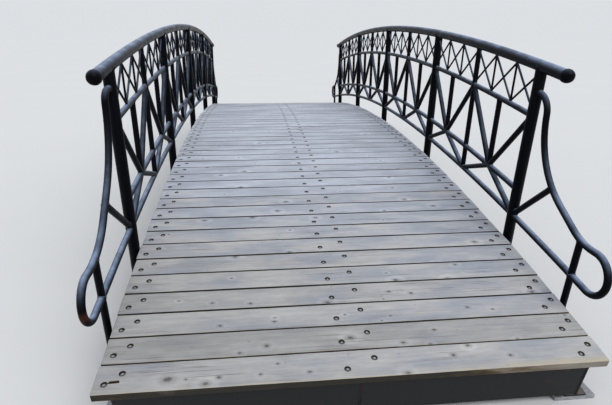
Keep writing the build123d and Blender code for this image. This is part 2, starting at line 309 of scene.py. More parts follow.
def make_piece(
    name: str, surface: Surface, material: Material, stands_for: list[str],
    sharp_above: float = 35.0,
) -> None:
    """Put a surface into the scene as a piece of the bridge.

    Args:
        name: the piece's name.
        surface: its points, faces and marks.
        material: its finish.
        stands_for: names of the CAD nodes that it takes the place of.
        sharp_above: angle in degrees between faces above which an edge stays sharp.
    """
    mesh = bpy.data.meshes.new(name)
    sizes = np.concatenate([np.full(len(rows), rows.shape[1]) for rows in surface.faces])
    corners = np.concatenate([rows.ravel() for rows in surface.faces]).astype(np.int32)
    mesh.vertices.add(len(surface.points))
    mesh.vertices.foreach_set("co", surface.points.astype(np.float32).ravel())
    mesh.loops.add(len(corners))
    mesh.loops.foreach_set("vertex_index", corners)
    mesh.polygons.add(len(sizes))
    starts = np.concatenate([[0], np.cumsum(sizes)[:-1]]).astype(np.int32)
    mesh.polygons.foreach_set("loop_start", starts)
    for mark, values in surface.marks.items():
        kind, key = ("FLOAT_VECTOR", "vector") if values.ndim == 2 else ("FLOAT", "value")
        attribute = mesh.attributes.new(mark, kind, "POINT")
        attribute.data.foreach_set(key, values.astype(np.float32).ravel())
    mesh.update(calc_edges=True)
    mesh.validate()
    mesh.shade_smooth()
    mesh.set_sharp_from_angle(angle=np.radians(sharp_above))
    mesh.materials.append(material)
    piece = bpy.data.objects.new(name, mesh)
    bpy.context.scene.collection.objects.link(piece)
    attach(piece, BODY)
    if stands_for:
        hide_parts(*stands_for)
    LOG.info("%s: %d points, %d faces", name, len(surface.points), len(sizes))


def dress_node(name: str, material: Material) -> None:
    """Give a CAD node that stays in view its finish."""
    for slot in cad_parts[name].material_slots:
        slot.material = material
    LOG.info("%s: kept, finished in %s", name, material.name)


# Shader trees


@dataclass
class Graph:
    """A node tree and short ways to add nodes to it."""

    tree: Tree

    def feed(self, socket: Socket, value: Link) -> None:
        """Link a socket into an input, or set the input's value."""
        if isinstance(value, Socket):
            self.tree.links.new(value, socket)
        else:
            socket.default_value = value

    def add(self, kind: str, inputs: dict[str | int, Link] | None = None, **extra: object) -> bpy.types.Node:
        """Add a node.

        Args:
            kind: the node's type.
            inputs: values or links by the input's name or number.
            **extra: the node's own properties.

        Returns:
            The new node.
        """
        node = self.tree.nodes.new(kind)
        for name, value in extra.items():
            setattr(node, name, value)
        for key, value in (inputs or {}).items():
            self.feed(node.inputs[key], value)
        return node

    def math(self, operation: str, *values: Link, clamp: bool = False) -> Socket:
        """Return the result of a Math node of one, two or three values."""
        inputs = dict(enumerate(values))
        return self.add("ShaderNodeMath", inputs, operation=operation, use_clamp=clamp).outputs[0]

    def product(self, first: Link, *others: Link, clamp: bool = False) -> Socket:
        """Return values multiplied in turn, kept between 0 and 1 if clamp is set."""
        for value in others[:-1]:
            first = self.math("MULTIPLY", first, value)
        return self.math("MULTIPLY", first, others[-1], clamp=clamp)

    def weighted(self, *terms: tuple[Link, float], onto: Link = 0.0) -> Socket:
        """Return the sum of one value and of others times their weights."""
        for value, weight in terms:
            onto = self.math("MULTIPLY_ADD", value, weight, onto)
        return onto

    def vector(self, operation: str, first: Link, second: Link) -> Socket:
        """Return the vector that a Vector Math node gives."""
        return self.add("ShaderNodeVectorMath", {0: first, 1: second}, operation=operation).outputs[0]

    def measure(self, operation: str, *vectors: Link) -> Socket:
        """Return the number that a Vector Math node gives, such as a length."""
        inputs = dict(enumerate(vectors))
        return self.add("ShaderNodeVectorMath", inputs, operation=operation).outputs["Value"]

    @staticmethod
    def rgba(colour: Link) -> Link:
        """Return a colour of three numbers with an alpha of one, and a link as it is."""
        return (*colour, 1.0) if isinstance(colour, tuple) and len(colour) == 3 else colour

    def mix(self, share: Link, first: Link, second: Link, blend: str = "MIX") -> Socket:
        """Return a colour between two, or their blend."""
        inputs = {0: share, 6: self.rgba(first), 7: self.rgba(second)}
        return self.add("ShaderNodeMix", inputs, data_type="RGBA", blend_type=blend).outputs[2]

    def coated(self, colour: Link, *coats: tuple[Link, Link]) -> Socket:
        """Return a colour under coats, each given by how much it covers and its colour."""
        for cover, coat in coats:
            colour = self.mix(cover, colour, coat)
        return colour

    def step(self, value: Link, low: float, high: float, to_low: float = 0.0, to_high: float = 1.0) -> Socket:
        """Return a value eased from to_low to to_high as the input goes from low to high."""
        inputs = {"Value": value, "From Min": low, "From Max": high, "To Min": to_low, "To Max": to_high}
        return self.add("ShaderNodeMapRange", inputs, interpolation_type="SMOOTHSTEP").outputs["Result"]

    def noise(self, vector: Link, scale: Link, detail: float = 2.0, roughness: float = 0.5) -> Socket:
        """Return the value of a Noise Texture, about 0 to 1."""
        inputs = {"Vector": vector, "Scale": scale, "Detail": detail, "Roughness": roughness}
        return self.add("ShaderNodeTexNoise", inputs).outputs[0]

    def drawn_out(
        self, vector: Link, along: float, across: float, detail: float, roughness: float = 0.5
    ) -> Socket:
        """Return noise with a number of swellings in a metre along x, and another across it."""
        return self.noise(self.vector("MULTIPLY", vector, (along, across, across)), 1.0, detail, roughness)

    def place(self) -> Socket:
        """Return the point's place in the bridge's frame, in metres."""
        return self.add("ShaderNodeTexCoord").outputs["Object"]

    def normal(self) -> Socket:
        """Return the surface's normal."""
        return self.add("ShaderNodeNewGeometry").outputs["Normal"]

    def mark(self, name: str, output: str = "Fac") -> Socket:
        """Return a named mark of the piece, as one number or, with the output Vector, as three."""
        node = self.add("ShaderNodeAttribute", attribute_name=name, attribute_type="GEOMETRY")
        return node.outputs[output]

    def parts(self, vector: Link) -> list[Socket]:
        """Return the three numbers of a vector."""
        return list(self.add("ShaderNodeSeparateXYZ", {0: vector}).outputs)

    def group(self, tree: Tree, inputs: dict[str, Link]) -> dict[str, Socket]:
        """Place a shared effect with its own values, and return its outputs by name."""
        return dict(self.add("ShaderNodeGroup", inputs, node_tree=tree).outputs.items())


class Kind(Enum):
    """The sorts of socket that a shared effect has."""

    VALUE = "NodeSocketFloat"
    COLOUR = "NodeSocketColor"
    VECTOR = "NodeSocketVector"


class Effects:
    """The effects that more than one finish uses, each built once as a node group."""

    ring_spacing = 0.0058

    def __init__(self) -> None:
        """Build all the groups."""
        self.upward_tint = self.upward_dust_and_sheen()
        self.rust = self.rust_bloom()
        self.edges = self.worn_edges()
        self.spot = self.spot_mask()
        self.grain = self.weathered_grain()

    @staticmethod
    def begun(name: str, **inputs: Kind) -> tuple[Graph, dict[str, Socket]]:
        """Start a group with inputs of the given kinds, and return its graph and its input links."""
        tree = bpy.data.node_groups.new(name, "ShaderNodeTree")
        for label, kind in inputs.items():
            tree.interface.new_socket(name=label, in_out="INPUT", socket_type=kind.value)
        graph = Graph(tree)
        return graph, dict(graph.add("NodeGroupInput").outputs.items())

    @staticmethod
    def ended(graph: Graph, **outputs: Socket) -> Tree:
        """Give a group its outputs, of which colour is a colour and the rest are values."""
        for label in outputs:
            kind = Kind.COLOUR if label == "colour" else Kind.VALUE
            graph.tree.interface.new_socket(name=label, in_out="OUTPUT", socket_type=kind.value)
        graph.add("NodeGroupOutput", outputs)
        return graph.tree

    def upward_dust_and_sheen(self) -> Tree:
        """Build a mask of faces that look up, in clouds of a given scale: a dusting on the beams, and a
        painted sky highlight with some chalking on the railing's tubes.

        The mask goes with the upward share of the normal to the power of about three, so
        that only the very tops of tubes take it.
        """
        graph, given = self.begun("upward_dust_and_sheen", amount=Kind.VALUE, cloud_scale=Kind.VALUE)
        up = graph.math("MAXIMUM", graph.parts(graph.normal())[2], 0.0)
        facing = graph.math("ADD", graph.math("POWER", up, 2.8), 0.005)
        clouds = graph.noise(graph.place(), given["cloud_scale"], 5.0, 0.65)
        clouds = graph.step(clouds, 0.32, 0.68, 0.50, 1.14)
        return self.ended(graph, mask=graph.product(facing, clouds, given["amount"], clamp=True))

    def rust_bloom(self) -> Tree:
        """Build patches of rust: a mask cut from broad noise broken up by fine noise, and its colour."""
        graph, given = self.begun("rust_bloom", amount=Kind.VALUE, patch_scale=Kind.VALUE)
        place = graph.place()
        broad = graph.noise(place, given["patch_scale"], 3.0, 0.55)
        fine = graph.noise(place, 420.0, 3.0, 0.7)
        mask = graph.step(graph.weighted((broad, 0.8), (fine, 0.2), onto=given["amount"]), 0.72, 0.84)
        colour = graph.mix(graph.step(fine, 0.3, 0.7), (0.038, 0.012, 0.008), (0.105, 0.032, 0.018))
        return self.ended(graph, mask=mask, colour=colour, height=graph.product(mask, fine))

    def worn_edges(self) -> Tree:
        """Build a mask of the edges: where a normal rounded over a radius leaves the true one."""
        graph, given = self.begun("worn_edges", radius=Kind.VALUE, amount=Kind.VALUE)
        soft = graph.add("ShaderNodeBevel", {"Radius": given["radius"]}, samples=4).outputs[0]
        edge = graph.step(graph.measure("DOT_PRODUCT", graph.normal(), soft), 0.995, 0.86)
        speckle = graph.step(graph.noise(graph.place(), 160.0, 3.0, 0.7), 0.35, 0.6)
        return self.ended(graph, mask=graph.product(edge, speckle, given["amount"], clamp=True))

    def spot_mask(self) -> Tree:
        """Build a ragged spot, longer across the bridge: its core, a soft halo and a rim beyond it."""
        graph, given = self.begun("spot_mask", centre=Kind.VECTOR, radius=Kind.VALUE)
        place = graph.place()
        offset = graph.vector("SUBTRACT", place, given["centre"])
        away = graph.measure("LENGTH", graph.vector("MULTIPLY", offset, (0.72, 1.0, 1.0)))
        ragged = graph.noise(place, graph.math("DIVIDE", 1.1, given["radius"]), 4.0, 0.65)
        share = graph.math("MULTIPLY_ADD", ragged, 1.7, graph.math("DIVIDE", away, given["radius"]))
        core, halo = graph.step(share, 1.95, 1.4), graph.step(share, 3.6, 1.5)
        rim = graph.product(graph.step(share, 2.2, 3.6), graph.step(share, 5.4, 3.8))
        return self.ended(graph, core=core, halo=halo, rim=rim)

    @staticmethod
    def knots(
        graph: Graph, cut: Link, per_metre: Pair, rarity: float, radii: Pair
    ) -> tuple[Socket, Socket, Socket]:
        """Return the masks of scattered knots.

        A knot lies at each point of a cell pattern. Its size, and whether it is there at all, come
        from the cell's random colour.

        Args:
            graph: where the nodes go.
            cut: place in the log, x along it.
            per_metre: cells in a metre along the log and across it.
            rarity: share of the cells that hold no knot.
            radii: smallest and largest radius.

        Returns:
            The masks of their dark cores, soft halos and pale outer rims.
        """
        along, across = per_metre
        cells = graph.vector("MULTIPLY", cut, (along, across, 0.0))
        inputs = {"Vector": cells, "Scale": 1.0, "Randomness": 0.75}
        pattern = graph.add("ShaderNodeTexVoronoi", inputs, voronoi_dimensions="2D")
        offset = graph.vector("SUBTRACT", pattern.outputs["Position"], cells)
        offset = graph.vector("MULTIPLY", offset, (1 / along / 1.4, 1 / across, 0.0))
        chance, size, _ = graph.parts(pattern.outputs["Color"])
        present = graph.step(chance, rarity, rarity + 0.02)
        share = graph.math("DIVIDE", graph.measure("LENGTH", offset), graph.step(size, 0.0, 1.0, *radii))
        share = graph.math("ADD", share, graph.step(graph.noise(cut, 170.0, 2.0), 0.2, 0.8, -0.3, 0.3))
        core = graph.product(graph.step(share, 1.2, 0.6), present)
        halo = graph.product(graph.step(share, 2.9, 0.7), present)
        return core, halo, graph.product(graph.step(share, 1.5, 2.9), graph.step(share, 6.0, 3.2), present)

    def latewood(self, graph: Graph, cut: Link, knot_halo: Link) -> Socket:
        """Return the dark wood of the growth rings: a sine of the distance from the pith.

        Args:
            graph: where the nodes go.
            cut: place in the log, y and z from its pith.
            knot_halo: mask of the knots, which push the rings aside as slow noise does.

        Returns:
            The mask.
        """
        _, aside, depth = graph.parts(cut)
        square = graph.math("ADD", graph.math("POWER", aside, 2.0), graph.math("POWER", depth, 2.0))
        slow = graph.drawn_out(cut, 0.5, 5.0, 2.0)
        spread = graph.weighted((slow, 0.016), (knot_halo, 0.004), onto=graph.math("POWER", square, 0.5))
        return graph.step(graph.math("SINE", graph.product(spread, 2 * np.pi / self.ring_spacing)), 0.1, 1.0)

    def weathered_grain(self) -> Tree:
        """Build weathered softwood cut from a log.

        The input cut_from has x along the log and y and z from its pith. Streaks, bands, fibres
        and drying checks are noise drawn out along the log. Soil is ochre where it is thin and
        dark where it lies thick; its dark end also paints the shade in the gaps, bolt holes and
        split and the shadow on the end boards' outer face. Below zero it is fresh wood worn bare.
        """
        values = dict.fromkeys(("tone", "across", "soil_and_shade", "grime"), Kind.VALUE)
        graph, given = self.begun(
            "weathered_grain", cut_from=Kind.VECTOR, pale=Kind.COLOUR, warm=Kind.COLOUR, **values
        )
        cut, tone = given["cut_from"], given["tone"]
        knot_core, knot_halo, knot_rim = self.knots(graph, cut, (2.7, 7.0), 0.55, (0.0035, 0.0090))
        speck_core, speck_halo, _ = self.knots(graph, cut, (4.4, 11.0), 0.66, (0.0010, 0.0032))
        latewood = self.latewood(graph, cut, knot_halo)
        streaks = graph.drawn_out(cut, 2.2, 58.0, 5.0, 0.65)
        bands = graph.drawn_out(cut, 0.6, 15.0, 2.0)
        fibres = graph.drawn_out(cut, 12.0, 760.0, 3.0, 0.7)
        mottle = graph.drawn_out(cut, 3.0, 9.0, 4.0, 0.55)
        flecks = graph.drawn_out(cut, 15.0, 75.0, 3.0, 0.6)
        speckle = graph.drawn_out(cut, 7.0, 30.0, 4.0, 0.6)
        cracked = graph.step(graph.drawn_out(cut, 2.4, 230.0, 1.0), 0.64, 0.69)
        checks = graph.product(cracked, graph.step(graph.drawn_out(cut, 1.7, 12.0, 1.0), 0.46, 0.60))

        # The tone is random, with a painted sheen that makes the boards paler towards the crest.
        shade = graph.weighted((tone, 0.075), onto=1.0)
        for noise, low, high, darkest, palest in (
            (streaks, 0.2, 0.8, 0.915, 1.07),
            (bands, 0.25, 0.75, 0.965, 1.03),
            (latewood, 0.0, 1.0, 1.010, 0.970),
            (fibres, 0.25, 0.75, 0.94, 1.05),
            (flecks, 0.3, 0.7, 0.945, 1.05),
            (mottle, 0.32, 0.68, 0.87, 1.12),
            (knot_rim, 0.0, 1.0, 1.0, 1.14),
        ):
            shade = graph.product(shade, graph.step(noise, low, high, darkest, palest))
        grey = graph.add("ShaderNodeCombineXYZ", {0: shade, 1: shade, 2: shade}).outputs[0]
        # Paler boards lean to the bluish colour, so the painted sheen towards the crest is bluish too.
        warmth = graph.step(graph.weighted((tone, -0.09), onto=mottle), 0.3, 0.7)
        colour = graph.mix(1.0, graph.mix(warmth, given["pale"], given["warm"]), grey, "MULTIPLY")

        core = graph.math("MAXIMUM", graph.product(knot_core, 0.70), graph.product(speck_core, 0.50))
        rim = graph.step(graph.math("ABSOLUTE", given["across"]), 0.90, 1.0)
        grime = graph.product(rim, graph.step(speckle, 0.35, 0.7, 0.1, 0.6), given["grime"], clamp=True)
        # Soil here is dirt and painted shade: thick soil paints the shade in the gaps, bolt holes and split,
        # and the shadow on the end boards' outer face.
        soil_and_shade = graph.product(given["soil_and_shade"], graph.step(speckle, 0.25, 0.7, 0.75, 1.12), clamp=True)
        stain = graph.mix(graph.step(soil_and_shade, 0.30, 0.60), (0.15, 0.098, 0.045), (0.030, 0.026, 0.020))
        bare = graph.product(given["soil_and_shade"], -1.0, clamp=True)
        colour = graph.coated(
            colour,
            (graph.weighted((knot_halo, 0.36), (speck_halo, 0.14)), (0.205, 0.195, 0.185)),
            (core, (0.075, 0.068, 0.062)),
            (graph.product(checks, 0.6), (0.10, 0.094, 0.09)),
            (grime, (0.43, 0.41, 0.34)),
            (graph.product(soil_and_shade, 2.2, clamp=True), stain),
            (graph.product(bare, graph.step(speckle, 0.3, 0.6, 0.5, 1.0)), (0.50, 0.43, 0.29)),
        )
        height = graph.weighted((fibres, 0.35), (checks, -1.6), (latewood, 0.18), (knot_core, -0.4))
        rough = graph.step(streaks, 0.2, 0.8, 0.78, 0.92)
        return self.ended(graph, colour=colour, roughness=rough, height=height)


# Finishes


@dataclass(frozen=True)
class Finish:
    """What every finish has: its name, its gloss, and the depth and strength of its fine relief."""

    name: str
    gloss: float = 0.5
    relief: float = 0.0
    relief_strength: float = 0.0

    def sockets(self, graph: Graph, effects: Effects) -> ShaderInputs:
        """Return what a finish feeds to its shader.

        Args:
            graph: where the nodes go.
            effects: the shared node groups.

        Returns:
            The shader's inputs by name, and the relief's height.
        """
        raise NotImplementedError

    def material(self, effects: Effects) -> Material:
        """Return the finish as a material with one Principled shader.

        Args:
            effects: the shared node groups.

        Returns:
            The material.
        """
        material = bpy.data.materials.new(self.name)
        material.use_nodes = True
        material.node_tree.nodes.clear()
        graph = Graph(material.node_tree)
        inputs, height = self.sockets(graph, effects)
        if self.relief:
            relief = {"Strength": self.relief_strength, "Distance": self.relief, "Height": height}
            inputs["Normal"] = graph.add("ShaderNodeBump", relief).outputs[0]
        shader = graph.add("ShaderNodeBsdfPrincipled", {**inputs, "Specular IOR Level": self.gloss})
        graph.add("ShaderNodeOutputMaterial", {"Surface": shader.outputs[0]})
        return material


@dataclass(frozen=True)
class BoardFinish(Finish):
    """Weathered softwood boards, grey and dry, with dirt and painted shade in the gaps and bolt holes.

    The material reads the marks cut_from, on_board and soil, the last carrying dirt and painted shade.
    """

    gloss: float = 0.25
    relief: float = 0.0010
    relief_strength: float = 0.6
    pale: Colour = (0.386, 0.410, 0.466)
    warm: Colour = (0.425, 0.418, 0.415)
    grime: float = 0.6
    knots: tuple[Spot, ...] = ()
    knot_coats: tuple[tuple[str, float, Colour], ...] = (
        ("rim", 0.13, (0.50, 0.52, 0.54)),
        ("halo", 0.38, (0.19, 0.18, 0.17)),
        ("core", 0.74, (0.062, 0.056, 0.052)),
    )

    def sockets(self, graph: Graph, effects: Effects) -> ShaderInputs:
        """Return the grain's colour and roughness with the listed knots over it, and its height."""
        across, _, tone = graph.parts(graph.mark("on_board", "Vector"))
        values = {"cut_from": graph.mark("cut_from", "Vector"), "soil_and_shade": graph.mark("soil_and_shade")}
        values |= {"tone": tone, "across": across, "grime": self.grime}
        values |= {"pale": graph.rgba(self.pale), "warm": graph.rgba(self.warm)}
        grain = graph.group(effects.grain, values)
        colour = grain["colour"]
        for centre, radius in self.knots:
            spot = graph.group(effects.spot, {"centre": centre, "radius": radius})
            coats = [(graph.product(spot[part], cover), coat) for part, cover, coat in self.knot_coats]
            colour = graph.coated(colour, *coats)
        return {"Base Color": colour, "Roughness": grain["roughness"]}, grain["height"]


@dataclass(frozen=True)
class SatinPaint(Finish):
    """Black satin paint on steel, with a bluish painted sky highlight and some chalking on faces that look
    up, and a little rust.
    """

    gloss: float = 0.05
    relief: float = 0.0006
    relief_strength: float = 0.35
    base: Colour = (0.0010, 0.0012, 0.0020)
    # Bluish colour on the tubes' upward faces: a painted sky highlight, with some chalking.
    chalk_and_sky_sheen: Colour = (0.262, 0.335, 0.485)
    chalk_and_sky_sheen_amount: float = 1.0
    roughness: float = 0.36
    rust_amount: float = 0.02
    rust_roughness: float = 0.85
    rust_spots: tuple[Spot, ...] = ()

    def sockets(self, graph: Graph, effects: Effects) -> ShaderInputs:
        """Return the paint under its painted sky highlight and chalking and its rust, and the height of its
        orange peel.
        """
        # On the tubes the mask of faces that look up paints a sky highlight.
        upward_tint = graph.group(effects.upward_tint, {"amount": self.chalk_and_sky_sheen_amount, "cloud_scale": 9.0})
        rust = graph.group(effects.rust, {"amount": self.rust_amount, "patch_scale": 26.0})
        peel = graph.noise(graph.place(), 330.0, 2.0)
        flaked = graph.step(peel, 0.3, 0.6, 0.35, 0.85)
        rusted = rust["mask"]
        for centre, radius in self.rust_spots:
            spot = graph.group(effects.spot, {"centre": centre, "radius": radius})
            rusted = graph.math("MAXIMUM", rusted, graph.product(spot["halo"], flaked))
        smear = graph.noise(graph.place(), 14.0, 4.0, 0.6)
        rough = graph.step(smear, 0.3, 0.7, self.roughness - 0.05, self.roughness + 0.08)
        inputs = {
            "Base Color": graph.coated(self.base, (upward_tint["mask"], self.chalk_and_sky_sheen), (rusted, rust["colour"])),
            "Roughness": graph.math("MAXIMUM", rough, graph.product(rusted, self.rust_roughness)),
        }
        return inputs, graph.weighted((peel, 0.3), onto=rust["height"])


@dataclass(frozen=True)
class BeamPaint(Finish):
    """Matt dark paint on rolled steel, rusting at the edges and in patches."""

    gloss: float = 0.2
    relief: float = 0.0008
    relief_strength: float = 0.4
    base: Colour = (0.014, 0.0145, 0.016)
    # Colour of the dusting on the beams' upward faces.
    upward_tint: Colour = (0.16, 0.145, 0.12)
    dust_amount: float = 0.75
    rust_amount: float = 0.1
    rust_roughness: float = 0.9

    def sockets(self, graph: Graph, effects: Effects) -> ShaderInputs:
        """Return the paint under its rust and the dusting on its upward faces, and the height of its mill
        scale.
        """
        edge = graph.group(effects.edges, {"radius": 0.004, "amount": 0.9})["mask"]
        amount = graph.weighted((edge, 0.2), onto=self.rust_amount)
        rust = graph.group(effects.rust, {"amount": amount, "patch_scale": 9.0})
        upward_tint = graph.group(effects.upward_tint, {"amount": self.dust_amount, "cloud_scale": 6.0})["mask"]
        scale = graph.noise(graph.place(), 240.0, 3.0, 0.6)
        rough = graph.step(scale, 0.3, 0.7, 0.5, 0.62)
        inputs = {
            "Base Color": graph.coated(self.base, (rust["mask"], rust["colour"]), (upward_tint, self.upward_tint)),
            "Roughness": graph.math("MAXIMUM", rough, graph.product(rust["mask"], self.rust_roughness)),
        }
        return inputs, graph.weighted((scale, 0.5), onto=rust["height"])


@dataclass(frozen=True)
class Galvanised(Finish):
    """Dull zinc on steel: a patchwork of spangles with stains and dirt.

    The material reads the mark grime if it is asked to; on the bolts it is dirt and painted shade at the
    bottom of the bore.
    """

    relief: float = 0.0004
    relief_strength: float = 0.3
    bright: Colour = (0.43, 0.44, 0.46)
    dull: Colour = (0.29, 0.30, 0.32)
    stain: Colour = (0.12, 0.10, 0.085)
    stain_amount: float = 0.35
    spangle_scale: float = 90.0
    bare_metal: float = 0.6
    # Near black over the grime mark: dirt, and painted shade at the bottom of the bolt holes.
    grime: Colour = (0.034, 0.034, 0.036)
    grime_roughness: float = 0.9
    reads_grime_and_shade: bool = False

    def sockets(self, graph: Graph, effects: Effects) -> ShaderInputs:
        """Return the spangles under stains, rust and grime, and the height of their grain."""
        place = graph.place()
        spangles = graph.add("ShaderNodeTexVoronoi", {"Vector": place, "Scale": self.spangle_scale})
        flake = graph.parts(spangles.outputs["Color"])[0]
        cloud = graph.step(graph.noise(place, 45.0, 4.0, 0.65), 0.42, 0.7)
        edge = graph.group(effects.edges, {"radius": 0.0015, "amount": 0.6})["mask"]
        rust = graph.group(effects.rust, {"amount": graph.product(edge, 0.16), "patch_scale": 30.0})
        colour = graph.coated(
            self.dull,
            (graph.step(flake, 0.0, 1.0), self.bright),
            (graph.product(cloud, self.stain_amount), self.stain),
            (rust["mask"], rust["colour"]),
        )
        rough = graph.step(flake, 0.0, 1.0, 0.42, 0.6)
        metal = graph.product(graph.math("SUBTRACT", 1.0, cloud, clamp=True), self.bare_metal)
        if self.reads_grime_and_shade:
            grime = graph.mark("grime")
            colour = graph.mix(grime, colour, self.grime)
            metal = graph.product(metal, graph.math("SUBTRACT", 1.0, grime, clamp=True))
            rough = graph.math("MAXIMUM", rough, graph.product(grime, self.grime_roughness))
        inputs = {"Base Color": colour, "Roughness": rough, "Metallic": metal}
        return inputs, graph.noise(place, 300.0, 3.0, 0.6)


@dataclass(frozen=True)
class PaleFloor(Finish):
    """A plain pale floor whose tone drifts a little."""

    gloss: float = 0.1
    colour: Colour = (0.72, 0.72, 0.715)
    roughness: float = 0.9
    drift: float = 0.985

    def sockets(self, graph: Graph, effects: Effects) -> ShaderInputs:
        """Return the floor's colour and roughness. It has no relief."""
        tone = graph.step(graph.noise(graph.place(), 0.6, 2.0), 0.3, 0.7)
        darker = tuple(value * self.drift for value in self.colour)
        return {"Base Color": graph.mix(tone, darker, self.colour), "Roughness": self.roughness}, 0.0


# The bridge


def arc_directions(angle: float | Array) -> tuple[Array, Array]:
    """Return the (x, y, z) directions along the arc and square to it, at an angle from its crest."""
    zero, sine, cosine = np.zeros_like(angle), np.sin(angle), np.cos(angle)
    return np.stack([zero, cosine, -sine], axis=-1), np.stack([zero, sine, cosine], axis=-1)


@dataclass(frozen=True)
class DeckArc:
    """The arc that the deck, the beams and the rails follow, and the lean of the posts."""

    radius: float = 20.62
    board_count: int = 54
    board_width: float = 0.143
    board_gap: float = 0.004
    board_thickness: float = 0.038
    beam_depth: float = 0.200
    beam_end_inset: float = 0.015
    bearing_thickness: float = 0.020
    post_lean_share: float = 0.5

    @property
    def pitch(self) -> float:
        """Distance along the arc from one board to the next."""
        return self.board_width + self.board_gap

    @property
    def half_length(self) -> float:
        """Half the deck's length along the arc."""
        return self.board_count * self.pitch / 2

    @property
    def beam_bottom_radius(self) -> float:
        """Radius of the beams' lower faces."""
        return self.radius - self.board_thickness - self.beam_depth

    @property
    def beam_middle_radius(self) -> float:
        """Radius at half the depth of the beams."""
        return self.beam_bottom_radius + self.beam_depth / 2

    @property
    def beam_end_angle(self) -> float:
        """Arc angle of the beams' far ends."""
        return (self.half_length - self.beam_end_inset) / self.radius

    @property
    def centre_z(self) -> float:
        """Height of the arc's centre, at which the beams' ends rest on their bearings."""
        return self.bearing_thickness - self.beam_bottom_radius * np.cos(self.beam_end_angle)

    def point(self, radius: float, angle: float | Array) -> Array:
        """Return (y, z) on a circle about the arc's centre, the angle counted from the crest."""
        return np.stack([radius * np.sin(angle), self.centre_z + radius * np.cos(angle)], axis=-1)

    def board_angle(self, index: int | Array) -> float | Array:
        """Return the arc angle of a board's middle."""
        return ((index + 0.5) * self.pitch - self.half_length) / self.radius

    def post_point(self, station: float, height: float) -> Array:
        """Return where a post's leaning line meets the arc a height above the deck.

        The line starts at the deck and leans a share of the way to square. Its length to a
        circle follows from the quadratic for a line and a circle.

        Args:
            station: where the post stands.
            height: height of the arc that it meets.

        Returns:
            The point (y, z).
        """
        foot = self.radius * np.array([np.sin(station / self.radius), np.cos(station / self.radius)])
        lean = self.post_lean_share * station / self.radius
        direction = np.array([np.sin(lean), np.cos(lean)])
        along = foot @ direction
        rise = np.sqrt(along**2 - self.radius**2 + (self.radius + height) ** 2) - along
        return foot + rise * direction + np.array([0.0, self.centre_z])

    def post_angle(self, station: float, height: float) -> float:
        """Return the arc angle at which a post's line reaches a height."""
        y, z = self.post_point(station, height)
        return float(np.arctan2(y, z - self.centre_z))

    def rail_path(self, height: float, start_angle: float, end_angle: float, steps: int) -> Array:
        """Return (y, z) points along the arc at a height."""
        return self.point(self.radius + height, np.linspace(start_angle, end_angle, steps))


@dataclass(frozen=True)
class Split:
    """A drying split in a board, along the grain from a bolt hole."""

    board: int
    across: float
    start: float
    length: float
    width: float
    depth: float
    blunt: float = 0.003
    margin: float = 0.004
    climb: float = 0.0035


